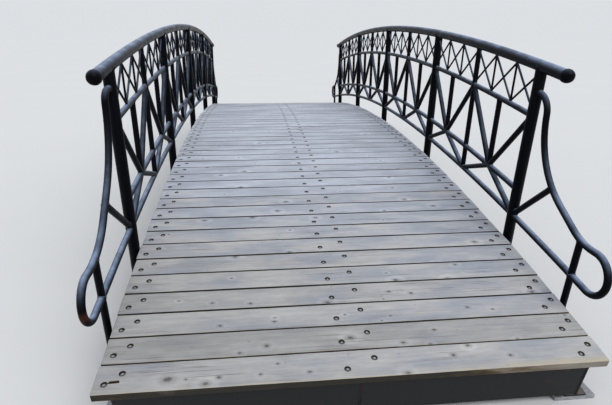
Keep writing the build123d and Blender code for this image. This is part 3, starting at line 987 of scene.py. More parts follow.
@dataclass
class Deck:
    """The boards, with their bolt holes, and the bolts that hold them to the beams.

    Bolt head rows are radius, height and grime, which on the washer is partly painted shade of the bore; rows
    of the bores' lip are the radius over the bore's, the depth and the soil, which is dirt and painted shade
    in the hole; and knot rows are the board, the places along and across it, and the radius of a knot that
    shows in the photograph.
    """

    arc: DeckArc
    width: float = 2.134
    section_count: int = 6
    arris: float = 0.003
    lower_arris: float = 0.002
    end_rounding: Rows = ((0.7, 0.12), (0.0, 0.85))
    bolt_offset: float = 0.0245
    bolt_play: float = 0.0013
    bolt_rows: Rows = ((-1.024, -0.964), (-0.059, 0.064), (0.964, 1.024))
    bore_radius: float = 0.0130
    bore_depth: float = 0.0085
    bore_patch: float = 0.018
    bore_steps: int = 6
    # The third column darkens the lip: dirt and painted shade in the hole.
    bore_lip: Rows = ((0.0016, 0.0001, 0.05), (0.0, 0.0009, 0.85))
    bore_taper: float = 0.0002
    column_spacing: float = 0.028
    closest_columns: float = 0.0012
    cup: float = 0.0011
    twist: float = 0.0008
    waviness: float = 0.0005
    wave_number: float = 5.1
    edge_wear: float = 0.0011
    longest_overhang: float = 0.0012
    shortest_cut: float = 0.006
    end_zone: float = 0.12
    saw_slope: float = 0.012
    skew: float = 0.0006
    narrowing: float = 0.0030
    pith_range: Rows = ((0, -0.05, 0.05), (40, 0.05, 0.12))
    head_sides: int = 12
    # The third column is grime: the washer's is partly painted shade of the bore.
    head_profile: Rows = (
        (0.0, 0.0, 1.0), (0.0112, 0.0, 1.0), (0.0116, 0.0008, 1.0), (0.0112, 0.0016, 0.8),
        (0.0062, 0.0017, 0.5), (0.0062, 0.0052, 0.75), (0.0056, 0.0064, 0.35), (0.0036, 0.0074, 0.12),
        (0.0, 0.0077, 0.05),
    )
    nut_radius: float = 0.0092
    nut_height: float = 0.008
    bolt_radius: float = 0.005
    bolt_end: float = 0.006
    flange_thickness: float = 0.010
    # Tone by boards from the nearer end: darker near the ends, and paler towards the crest, partly bleaching
    # and partly a painted sheen of the far boards.
    bleaching_and_sheen: Rows = ((0, 4, 12, 20), (-1.7, -0.9, 2.5, 4.0))
    # Painted sheen on the boards near the deck's ends: paler to the right, darker to the left.
    side_sheen: Rows = ((0, 3, 10), (0.7, 1.1, 0.0))
    # Soil on the top edges over the gaps, on the faces in the gaps and underneath: dirt, and painted shade
    # where the gaps and the underside lie in shade.
    edge_soil_and_shade: Rows = ((1, 3), (0.22, 0.8))
    side_soil_and_shade: float = 0.95
    under_soil_and_shade: float = 0.4
    face_wear: Rows = ((0.2, 0.9), (0.0, 1.0))
    seed: int = 5400
    split: Split = Split(board=0, across=-0.0180, start=-1.0085, length=0.0430, width=0.0062, depth=0.011)
    knots: Rows = (
        (0, -0.780, -0.020, 0.0135), (0, -0.709, -0.025, 0.0040), (0, -0.580, -0.026, 0.0065),
        (0, -0.414, -0.024, 0.0050), (0, -0.343, 0.025, 0.0050), (0, -0.215, -0.027, 0.0060),
        (0, 0.405, 0.010, 0.0075), (0, 0.651, -0.009, 0.0065), (1, -0.499, -0.053, 0.0060),
        (1, -0.385, -0.022, 0.0080), (1, 0.210, -0.049, 0.0075), (1, 0.372, 0.016, 0.0060),
        (2, -0.590, -0.033, 0.0065), (2, -0.345, -0.023, 0.0060), (2, 0.149, -0.056, 0.0035),
        (2, 0.197, -0.028, 0.0040), (2, 0.583, 0.002, 0.0065), (2, 0.699, -0.020, 0.0050),
        (3, -0.635, -0.024, 0.0060), (3, -0.453, -0.040, 0.0065), (3, 0.193, -0.055, 0.0035),
        (3, 0.232, -0.003, 0.0070), (3, 0.341, -0.023, 0.0075),
    )

    @property
    def bolts(self) -> Array:
        """The (x, y) places of a board's bolts, which lie to either side of its middle in turn."""
        offsets = np.tile([-self.bolt_offset, self.bolt_offset], len(self.bolt_rows))
        return np.column_stack([np.ravel(self.bolt_rows), offsets])

    def on_arc(self, index: int | Array, local: Array) -> Array:
        """Return local points of a board in the bridge's frame.

        Args:
            index: the number of the board, or of each point's board.
            local: (..., 3) places along the board, across it and up.

        Returns:
            The points in the same order.
        """
        angle = self.arc.board_angle(index)
        along, up = arc_directions(angle)
        points = local[..., 1:2] * along + local[..., 2:] * up
        points[..., 0] += local[..., 0]
        points[..., 1:] += self.arc.point(self.arc.radius, angle)
        return points

    def bolt_places(self, depth: float) -> tuple[Array, Array, Array, Array]:
        """Return the places of all the bolts at a depth under the deck, and three directions.

        Args:
            depth: distance below the walking surface.

        Returns:
            Origins, and directions across, along and up at each, with a turn of its own.
        """
        board = np.repeat(np.arange(self.arc.board_count), len(self.bolts))
        rng = np.random.default_rng(self.seed)
        play = rng.uniform(-self.bolt_play, self.bolt_play, (len(board), 2))
        places = np.tile(self.bolts, (self.arc.board_count, 1)) + play
        origins = self.on_arc(board, np.column_stack([places, np.full(len(board), -depth)]))
        tangent, normal = arc_directions(self.arc.board_angle(board))
        turn = rng.uniform(0, 2 * np.pi, len(board))[:, None]
        across = np.cos(turn) * X_AXIS + np.sin(turn) * tangent
        along = -np.sin(turn) * X_AXIS + np.cos(turn) * tangent
        return origins, across, along, normal

    def bolt_head(self) -> Surface:
        """Return a small domed head on a washer, its profile of radii and heights turned about z.

        The mark grime says how dark each ring is: the washer, down in the bore, is dark with dirt and painted
        shade, and the top of the dome isn't.
        """
        radii, heights, grime = np.array(self.head_profile).T
        head = turned(heights[:, None] * Z_AXIS, radii, X_AXIS, Y_AXIS, self.head_sides)
        head.marks = {"grime": np.append(np.repeat(grime[1:-1], self.head_sides), grime[[0, -1]])}
        return head

    def nut(self) -> Surface:
        """Return a six-sided nut and the bolt's end, hanging down from zero."""
        tip = self.nut_height + self.bolt_end
        heights = np.array([0.0, 0.0, self.nut_height, self.nut_height, tip, tip])
        radii = np.array([0.0, self.nut_radius, self.nut_radius, self.bolt_radius, self.bolt_radius, 0.0])
        return turned(-heights[:, None] * Z_AXIS, radii, X_AXIS, Y_AXIS, 6)

    def build(self, near: Material, others: Material, zinc: Material) -> None:
        """Make the boards, section by section, the bolt heads and the nuts.

        Args:
            near: finish of the nearest section's boards.
            others: finish of the other boards.
            zinc: finish of the bolts.
        """
        for section, numbers in enumerate(np.split(np.arange(self.arc.board_count), self.section_count)):
            boards = joined([Board(self, int(number)).surface() for number in numbers])
            name = f"deck_boards_{section + 1}"
            make_piece(f"{name}_weathered", boards, others if section else near, [name])
        heads = copies(self.bolt_head(), *self.bolt_places(self.bore_depth))
        make_piece("deck_bolt_heads", heads, zinc, [], 50.0)
        nuts = copies(self.nut(), *self.bolt_places(self.arc.board_thickness + self.flange_thickness))
        make_piece("deck_bolt_nuts", nuts, zinc, [], 30.0)

    def knot_places(self) -> tuple[Spot, ...]:
        """Return each listed knot's place in the bridge's frame and its radius."""
        places = [self.on_arc(board, np.array([x, y, 0.0])) for board, x, y, _ in self.knots]
        return tuple((tuple(place.tolist()), knot[-1]) for place, knot in zip(places, self.knots))


class Board:
    """One deck board: a rounded section carried along x, with six bolt holes, laid on the arc.

    columns are the x places of its grid, rows the y places of its upper face and outline its
    section (y, z). x, y, z and soil, which also carries painted shade, hold one number for each column and
    point of the section.
    """

    def __init__(self, deck: Deck, index: int) -> None:
        """Draw the board's own width, bends, tone and saw cuts, and work out its grid.

        Args:
            deck: the sizes that all boards share.
            index: the board's number from the near end.
        """
        self.deck, self.index = deck, index
        self.rng = np.random.default_rng(deck.seed + index)
        self.from_end = min(index, deck.arc.board_count - 1 - index)
        narrowed = self.rng.uniform(0.4, 1.0) * deck.narrowing * (self.from_end > 1)
        self.half_width = (deck.arc.board_width - narrowed) / 2
        self.cuts = self.rng.uniform(-deck.shortest_cut, deck.longest_overhang, 2)
        self.cup, self.twist, self.wave_phase, tone = self.rng.uniform(-1, 1, 4)
        # The tone is random, plus a painted sheen that makes the far boards paler.
        self.tone = tone + np.interp(self.from_end, *deck.bleaching_and_sheen)
        self.skew = self.rng.uniform(-deck.skew, deck.skew)
        self.saw = self.rng.uniform(-deck.saw_slope, deck.saw_slope, 2)
        rounding = deck.arris * np.array(deck.end_rounding)
        ends = deck.width / 2 - rounding[:, 0]
        self.columns = np.concatenate([-ends[::-1], self.column_lines(), ends])
        self.rows = self.row_lines()
        self.outline = self.section()
        self.is_edge = np.abs(self.outline[:, 0]) > self.half_width - deck.arris * 0.6
        self.x, self.y, self.z = self.grid(rounding[:, 1])
        self.soil_and_shade = self.soiling_and_shade()
        if index == deck.split.board:
            self.open_split()

    def column_lines(self) -> Array:
        """Return the sorted x places of the columns between the ends, with the bolt patches' sides."""
        deck, split = self.deck, self.deck.split
        half_length = deck.width / 2 - deck.arris
        reach, count = deck.bore_patch, deck.bore_steps + 1
        patches = [np.linspace(x - reach, x + reach, count) for x in deck.bolts[:, 0]]
        limits = np.concatenate([[-half_length], *[patch[[0, -1]] for patch in patches], [half_length]])
        runs = []
        for low, high in zip(limits[0::2], limits[1::2]):
            count = max(2, int(np.ceil((high - low) / deck.column_spacing)) + 1)
            runs.append(np.linspace(low, high, count))
        lines = np.unique(np.round(np.concatenate(patches + runs), 6))
        if self.index == split.board:
            end = split.start + split.length
            extra = np.append(np.linspace(split.start, end - split.blunt, 7), [end, end + split.margin])
            free = np.abs(extra[:, None] - lines[None]).min(axis=1) > deck.closest_columns
            lines = np.sort(np.concatenate([lines, extra[free]]))
        return lines

    def row_lines(self) -> Array:
        """Return the sorted y places of the upper face's rows, with the bolt patches' sides."""
        deck, split = self.deck, self.deck.split
        flat = self.half_width - deck.arris
        low, high = -deck.bolt_offset - deck.bore_patch, -deck.bolt_offset + deck.bore_patch
        patch = np.linspace(low, high, deck.bore_steps + 1)
        edge = np.linspace(-flat, low, 4)[:-1]
        lines = np.concatenate([edge, patch, [0.0], -patch[::-1], -edge[::-1]])
        if self.index == split.board:
            clear = np.abs(lines - split.across) > split.width * 0.9
            slot = split.across + split.width * np.array([-0.5, -0.36, 0.0, 0.36, 0.5])
            lines = np.sort(np.concatenate([lines[clear], slot]))
        return lines

    def section(self) -> Array:
        """Return the closed section (y, z): flat rows on top at z zero, and rounded edges."""
        half_width, thickness = self.half_width, self.deck.arc.board_thickness
        upper, lower = self.deck.arris, self.deck.lower_arris
        right = np.concatenate(
            [
                rounded_corner((half_width - upper, -upper), upper, 60, -60, 2),
                rounded_corner((half_width - lower, lower - thickness), lower, 0, -90, 1),
            ]
        )
        top = np.column_stack([self.rows, np.zeros(len(self.rows))])
        return np.concatenate([top, right, [[0.0, -thickness]], right[::-1] * (-1, 1)])

    def relief(self, x: Array, y: Array) -> Array:
        """Return the height of the upper face over its plane.

        It is cupped by the square of the share across, waves as a sine of x, and is twisted by
        the share across times x.

        Args:
            x: places along the board.
            y: places across it.

        Returns:
            The heights.
        """
        deck, share = self.deck, y / self.half_width
        wave = deck.waviness * np.sin(x * deck.wave_number + 3 * self.wave_phase + share)
        return deck.cup * self.cup * (share**2 - 0.4) + wave + deck.twist * self.twist * share * x

    def grid(self, end_insets: Array) -> tuple[Array, Array, Array]:
        """Return the section carried along x, before the bolt holes.

        It shrinks at both ends, its upper face follows the relief, and its long edges wander
        inwards by coarse noise and half as much fine noise.

        Args:
            end_insets: how much smaller the last column but one and the last one are.

        Returns:
            x, y and z for each column and point of the section.
        """
        side, depth = self.outline.T
        inset = np.zeros(len(self.columns))
        inset[[1, -2]], inset[[0, -1]] = end_insets
        thickness = self.deck.arc.board_thickness
        half = thickness / 2
        x = np.repeat(self.columns[:, None], len(side), axis=1)
        y = side * ((self.half_width - inset) / self.half_width)[:, None]
        z = -half + (depth + half) * ((half - inset) / half)[:, None]
        z = z + self.relief(x, y) * np.clip(1 + depth / thickness, 0, 1)
        wear = []
        for _ in range(2):
            coarse, fine = (np.abs(smooth_noise(self.columns, length, self.rng)) for length in (0.11, 0.05))
            wear.append((coarse + 0.5 * fine)[:, None])
        worn = self.is_edge * np.where(side > 0, *wear) * self.deck.edge_wear
        return x, y - np.sign(y) * worn, z

    def soiling_and_shade(self) -> Array:
        """Return how soiled and shaded the grid is, from 0 to 1, or below 0 where fresh wood is worn bare.

        Dirt and painted shade lie in the gaps, on the top edges over them and underneath. The outer edge of
        the first and last board is bare, and their outer face is soiled, darker to the left as painted shadow
        and less soiled to the right, where feet have worn it.
        """
        deck, (side, depth) = self.deck, self.outline.T
        is_side = self.is_edge & (depth < -deck.arris * 0.9)
        under = np.where(depth < -deck.arc.board_thickness / 2, deck.under_soil_and_shade, 0.0)
        soil_and_shade = np.where(self.is_edge, np.interp(self.from_end, *deck.edge_soil_and_shade), under)
        soil_and_shade = np.repeat(np.where(is_side, deck.side_soil_and_shade, soil_and_shade)[None, :], len(self.columns), axis=0)
        if self.from_end == 0:
            outer = side if self.index else -side
            worn = np.interp(self.columns, *deck.face_wear)[:, None]
            near_edge = np.clip(outer / self.half_width - 0.4, 0, 0.6) / 0.6
            is_top = outer < self.half_width - deck.arris * 0.9
            soil_and_shade = np.where(is_top, -near_edge * (0.1 + 0.8 * worn), soil_and_shade)
            # The outer face is darkened: dirt, and to the left a painted shadow under the board's edge; it is
            # lighter to the right where feet wore it.
            bare_edge = np.where(is_side, 0.66 - 0.38 * worn, -0.75)
            soil_and_shade = np.where(self.is_edge & (outer > 0), bare_edge, soil_and_shade)
        return soil_and_shade

    def open_split(self) -> None:
        """Sink the slot's three inner rows and let it climb a little along its board, in place."""
        split = self.deck.split
        middle = int(np.argmin(np.abs(self.rows - split.across)))
        slot = slice(middle - 2, middle + 3)
        x = self.x[:, slot]
        share = np.clip((x - split.start) / split.length, 0, 1)
        inside = (x > split.start - split.margin) & (x < split.start + split.length - split.blunt / 2)
        is_inner = np.array([False, True, True, True, False])
        self.z[:, slot] -= np.where(inside & is_inner, split.depth, 0.0)
        # The split is darkened: dirt and painted shade inside it.
        self.soil_and_shade[:, slot] = np.where(inside, np.where(is_inner, 1.0, 0.85), self.soil_and_shade[:, slot])
        self.y[:, slot] += split.climb * share * (share < 1)

    @staticmethod
    def patch_rim(numbers: Array, inside: Array) -> Array:
        """Return the point numbers round a patch of cells, in order.

        Args:
            numbers: point numbers by column and row.
            inside: which cells belong to the patch.

        Returns:
            The rim's point numbers, starting at its lowest column and row.
        """
        columns, rows = np.nonzero(inside)
        first, last = columns.min(), columns.max() + 1
        low, high = rows.min(), rows.max() + 1
        sides = numbers[first:last, low], numbers[last, low:high], numbers[last:first:-1, high]
        return np.concatenate([*sides, numbers[first, high:low:-1]])

    def bore_rings(self, rim: Array, bolt: Array) -> tuple[Array, Array]:
        """Return the rings of one bolt hole, from its worn lip down to its floor.

        Each ring's point lies in the direction of the patch rim's point from the bolt, at the
        ring's radius, and at a depth under the upper face.

        Args:
            rim: points of the square patch round the hole.
            bolt: the hole's place (x, y) on the board.

        Returns:
            The rings' points, ring by ring, and how soiled and shaded each is.
        """
        deck, direction = self.deck, unit(rim[:, :2] - bolt)
        sunk = self.relief(rim[:, 0], rim[:, 1]) - rim[:, 2]
        rings = np.array([*deck.bore_lip, (-deck.bore_taper, deck.bore_depth, 1.0)])
        radii, depths, soil_and_shade_values = rings.T[:, :, None]
        flat = bolt + (deck.bore_radius + radii)[..., None] * direction
        height = self.relief(flat[..., 0], flat[..., 1]) - np.clip(sunk, depths, deck.bore_depth)
        points = np.concatenate([flat, height[..., None]], axis=-1)
        # Points deep in the hole are darkest: dirt and painted shade.
        return points.reshape(-1, 3), np.maximum(soil_and_shade_values, sunk > 0.002).ravel()

    def bored(self) -> Surface:
        """Return the grid with a bolt hole in place of each patch of cells, and the mark of soil and painted
        shade.
        """
        patch = self.deck.bore_patch
        points = [np.stack([self.x, self.y, self.z], axis=-1).reshape(-1, 3)]
        soil_and_shade_values, faces = [self.soil_and_shade.ravel()], []
        numbers = np.arange(self.x.size).reshape(self.x.shape)
        cell_x = (self.columns[:-1] + self.columns[1:])[:, None] / 2
        cell_y = (self.outline[:, 0] + np.roll(self.outline[:, 0], -1)) / 2
        on_top = np.arange(len(cell_y)) < len(self.rows) - 1
        keep = np.ones((len(cell_x), len(cell_y)), bool)
        start = numbers.size
        for bolt in self.deck.bolts:
            inside = (np.abs(cell_x - bolt[0]) < patch) & (np.abs(cell_y - bolt[1]) < patch) & on_top
            keep &= ~inside
            rim = self.patch_rim(numbers, inside)
            rings, ring_soil_and_shade = self.bore_rings(points[0][rim], bolt)
            loop, following = ring_pairs(len(rim))
            last, floor_point = start + len(rings) - len(rim), start + len(rings)
            faces += [
                np.stack([rim[loop], rim[following], start + following, start + loop], axis=-1),
                ring_faces(len(rings) // len(rim), len(rim), False) + start,
                np.stack([last + loop, last + following, np.full(len(rim), floor_point)], axis=-1),
            ]
            points += [rings, [[*bolt, self.relief(*bolt) - self.deck.bore_depth]]]
            # The hole's floor point is darkest: dirt and painted shade.
            soil_and_shade_values += [ring_soil_and_shade, [1.0]]
            start = floor_point + 1
        quads = ring_faces(*numbers.shape, False)[keep.ravel()]
        faces = [quads, numbers[:1, ::-1], numbers[-1:], *faces]
        return Surface(np.concatenate(points), faces, {"soil_and_shade": np.concatenate(soil_and_shade_values)})

    def surface(self) -> Surface:
        """Return the board with its ends sawn, turned a little and laid on the beams.

        The mark cut_from is the place in a log whose pith lies at a random place, on_board holds
        the shares across and along the board and its tone, and soil says how soiled it is and where shade is
        painted.
        """
        deck, whole = self.deck, self.bored()
        x, y, z = whole.points.T
        half_length = deck.width / 2
        near_end = np.clip((np.abs(x) - half_length + deck.end_zone) / deck.end_zone, 0, 1)
        cut = np.where(x > 0, self.cuts[1], -self.cuts[0]) * near_end
        saw_cut = np.where(x > 0, self.saw[1], self.saw[0]) * y * near_end
        # Near the ends the tone slopes along the board as a painted sheen, paler to the right.
        tone = self.tone + x / half_length * np.interp(self.from_end, *deck.side_sheen)
        whole.marks["cut_from"] = whole.points + self.rng.uniform(*deck.pith_range)
        whole.marks["on_board"] = np.column_stack([y / self.half_width, x / half_length, tone])
        moved = np.column_stack([x + cut + saw_cut + self.skew * y, y - self.skew * x, z])
        return Surface(deck.on_arc(self.index, moved), whole.faces, whole.marks).outward()


@dataclass
class BeamFrame:
    """Three curved beams, the channels between them and the bearings they stand on."""

    arc: DeckArc
    outer_x: float = 0.993
    outer_flange: float = 0.100
    centre_flange: float = 0.165
    flange_thickness: float = 0.010
    web_thickness: float = 0.008
    root_radius: float = 0.012
    toe_radius: float = 0.0015
    brace_depth: float = 0.120
    brace_flange: float = 0.050
    brace_thickness: float = 0.006
    end_brace_clearance: float = 0.002
    post_stations: tuple[float, ...] = (-2.976, -1.488, 0.0, 1.488, 2.976)
    bead_radius: float = 0.0035
    stations: int = 97

    def beam_outline(self, flange_width: float) -> Array:
        """Return the closed section of a rolled beam, from one quarter mirrored three times."""
        half_depth, half_width, half_web = self.arc.beam_depth / 2, flange_width / 2, self.web_thickness / 2
        under = half_depth - self.flange_thickness
        root, toe = self.root_radius, self.toe_radius
        quarter = np.concatenate(
            [
                [[half_web, 0.0]], rounded_corner((half_web + root, under - root), root, 180, -90, 5),
                rounded_corner((half_width - toe, under + toe), toe, -90, 90, 2),
                rounded_corner((half_width - toe, half_depth - toe), toe, 0, 90, 2),
            ]
        )
        return np.concatenate(
            [quarter, quarter[::-1] * (-1, 1), (quarter * -1)[1:], (quarter[::-1] * (1, -1))[:-1]]
        )

    def beam(self, middle_x: float, flange_width: float) -> Surface:
        """Return one beam: its section carried along the arc at the middle of its depth."""
        angles = np.linspace(-self.arc.beam_end_angle, self.arc.beam_end_angle, self.stations)
        centres = in_rail_plane(middle_x, self.arc.point(self.arc.beam_middle_radius, angles))
        return swept(self.beam_outline(flange_width), centres, X_AXIS, arc_directions(angles)[1])

    def channel_outline(self, depth: float) -> Array:
        """Return the closed section of a channel of a given depth, from one half mirrored."""
        half, wall, toe = depth / 2, self.brace_thickness, self.toe_radius
        back, tip, root = -wall / 2, self.brace_flange - wall / 2, self.brace_thickness
        upper = np.concatenate(
            [
                rounded_corner((back + 2 * toe, half - 2 * toe), 2 * toe, 180, -90, 3),
                rounded_corner((tip - toe, half - toe), toe, 90, -90, 2),
                rounded_corner((tip - toe, half - wall + toe), toe, 0, -90, 2),
                rounded_corner((wall / 2 + root, half - wall - root), root, 90, 90, 4),
            ]
        )
        return np.concatenate([upper, upper[::-1] * (1, -1)])

    def brace(self, angle: float, depth: float) -> Surface:
        """Return a channel from the centre beam to the right one, with a weld bead round each end.

        Args:
            angle: its arc angle.
            depth: its depth.

        Returns:
            The channel and its two beads.
        """
        middle = self.arc.point(self.arc.beam_middle_radius, angle)
        ends = np.array([self.web_thickness / 2, self.outer_x - self.web_thickness / 2])
        centres = np.column_stack([ends, np.tile(middle, (2, 1))])
        tangent, normal = arc_directions(angle)
        outline = self.channel_outline(depth)
        loops = [centre + outline[:, :1] * tangent + outline[:, 1:] * normal for centre in centres]
        beads = [bead_along(loop, self.bead_radius, X_AXIS) for loop in loops]
        return joined([swept(outline, centres, tangent, normal), *beads])

    def build(self, paint: Material, zinc: Material) -> None:
        """Make the beams and braces, and finish the bearings.

        Args:
            paint: finish of the beams and braces.
            zinc: finish of the bearings.
        """
        right = self.beam(self.outer_x, self.outer_flange)
        centre = self.beam(0.0, self.centre_flange)
        angles = np.array(self.post_stations) / self.arc.radius
        rows = joined([self.brace(angle, self.brace_depth) for angle in angles])
        end_angle = self.brace_thickness / 2 / self.arc.beam_middle_radius - self.arc.beam_end_angle
        end_depth = self.arc.beam_depth - 2 * (self.flange_thickness + self.end_brace_clearance)
        near_end = self.brace(end_angle, end_depth).doubled(Mirror.ACROSS)
        for name, surface, node in (
            ("right_beam_rolled", right, "right_beam"),
            ("left_beam_rolled", right.mirrored(Mirror.ACROSS), "left_beam"),
            ("centre_beam_rolled", centre, "centre_beam"),
            ("cross_brace_channels", rows.doubled(Mirror.ACROSS), "cross_braces"),
            ("end_brace_channels", near_end.doubled(Mirror.ALONG), "end_braces"),
        ):
            make_piece(name, surface, paint, [node])
        for name in ("near_bearings", "far_bearings"):
            dress_node(name, zinc)


def bead_along(
    loop: Array, radius: float, normal_hint: Array, sides: int = 5, ripples: float = 0.0
) -> Surface:
    """Return a weld bead along a closed loop of points.

    The bead is a circle carried round the loop, square to it. Its radius swells and shrinks as a
    sine with the number of ripples.

    Args:
        loop: (n, 3) points of the loop.
        radius: the bead's radius.
        normal_hint: (3,) or (n, 3) direction that doesn't run along the loop.
        sides: points round the bead.
        ripples: swellings round the loop.

    Returns:
        The closed surface.
    """
    run = unit(np.roll(loop, -1, axis=0) - np.roll(loop, 1, axis=0))
    first = unit(np.cross(run, np.broadcast_to(normal_hint, loop.shape)))
    swell = 1 + 0.14 * np.sin(ripples * np.linspace(0, 2 * np.pi, len(loop), endpoint=False))
    circles = circle_points(sides) * radius * swell[:, None, None]
    return swept(circles, loop, first, np.cross(run, first), looped=True)


@dataclass
class Member:
    """A straight run of tube in the railing's plane, or the local line of a curved one."""

    start: Array
    end: Array
    radius: float

    @property
    def direction(self) -> Array:
        """Direction from the start to the end."""
        return unit(self.end - self.start)

    @property
    def middle(self) -> Array:
        """The point halfway along."""
        return (self.start + self.end) / 2

    def hit(self, origin: Array, direction: Array) -> Array:
        """Return how far along rays this member's surface is first met.

        In the plane across the member's axis, a ray meets the circle of its radius where a
        quadratic is zero. Where it misses, the nearest approach is taken.

        Args:
            origin: (n, 3) starts of the rays.
            direction: (3,) their shared direction.

        Returns:
            (n,) distances.
        """
        axis = self.direction
        from_axis = origin - self.start
        across = from_axis - np.outer(from_axis @ axis, axis)
        going = direction - (direction @ axis) * axis
        square, dot = going @ going, across @ going
        rest = np.einsum("ij,ij->i", across, across) - self.radius**2
        return (-dot - np.sqrt(np.maximum(dot**2 - square * rest, 0))) / square

    def misses(self, origin: Array, direction: Array) -> bool:
        """Return whether one ray runs along this member or passes it at more than its radius."""
        aside = np.cross(direction, self.direction)
        length = np.linalg.norm(aside)
        return bool(length < 1e-6 or abs((origin - self.start) @ aside) / length > self.radius)


def weld(branch: Member, hosts: list[Member], bead_radius: float, around: int) -> Surface:
    """Return the bead where a branch's end meets the first of its hosts.

    The bead's line is the true curve in which the two tubes meet: lines along the branch's
    surface, carried to where they meet the host's.

    Args:
        branch: the tube that ends there, running towards the joint.
        hosts: the tubes that it may end on.
        bead_radius: radius of the bead.
        around: points along the bead.

    Returns:
        The closed surface.
    """
    direction = branch.direction
    circle = circle_points(around)
    radial = circle[:, :1] * X_AXIS + circle[:, 1:] * np.cross(direction, X_AXIS)
    met = [host for host in hosts if not host.misses(branch.start, direction)]
    host = min(met, key=lambda candidate: candidate.hit(branch.start[None], direction)[0])
    origin = branch.start + branch.radius * radial
    loop = origin + host.hit(origin, direction)[:, None] * direction
    return bead_along(loop, bead_radius, radial, ripples=around / 2.5)


@dataclass(frozen=True)
class ScrollBends:
    """The sizes of one side's scrolls, from the end post down to the loop."""

    start_drop: float
    bend_radius: float
    knee_drop: float
    knee_radius: float
    toe_length: float
    toe_radius: float


RIGHT_BENDS = ScrollBends(0.136, 0.102, 0.377, 0.472, 0.107, 0.301)
LEFT_BENDS = ScrollBends(0.102, 0.060, 0.275, 0.533, 0.173, 0.390)


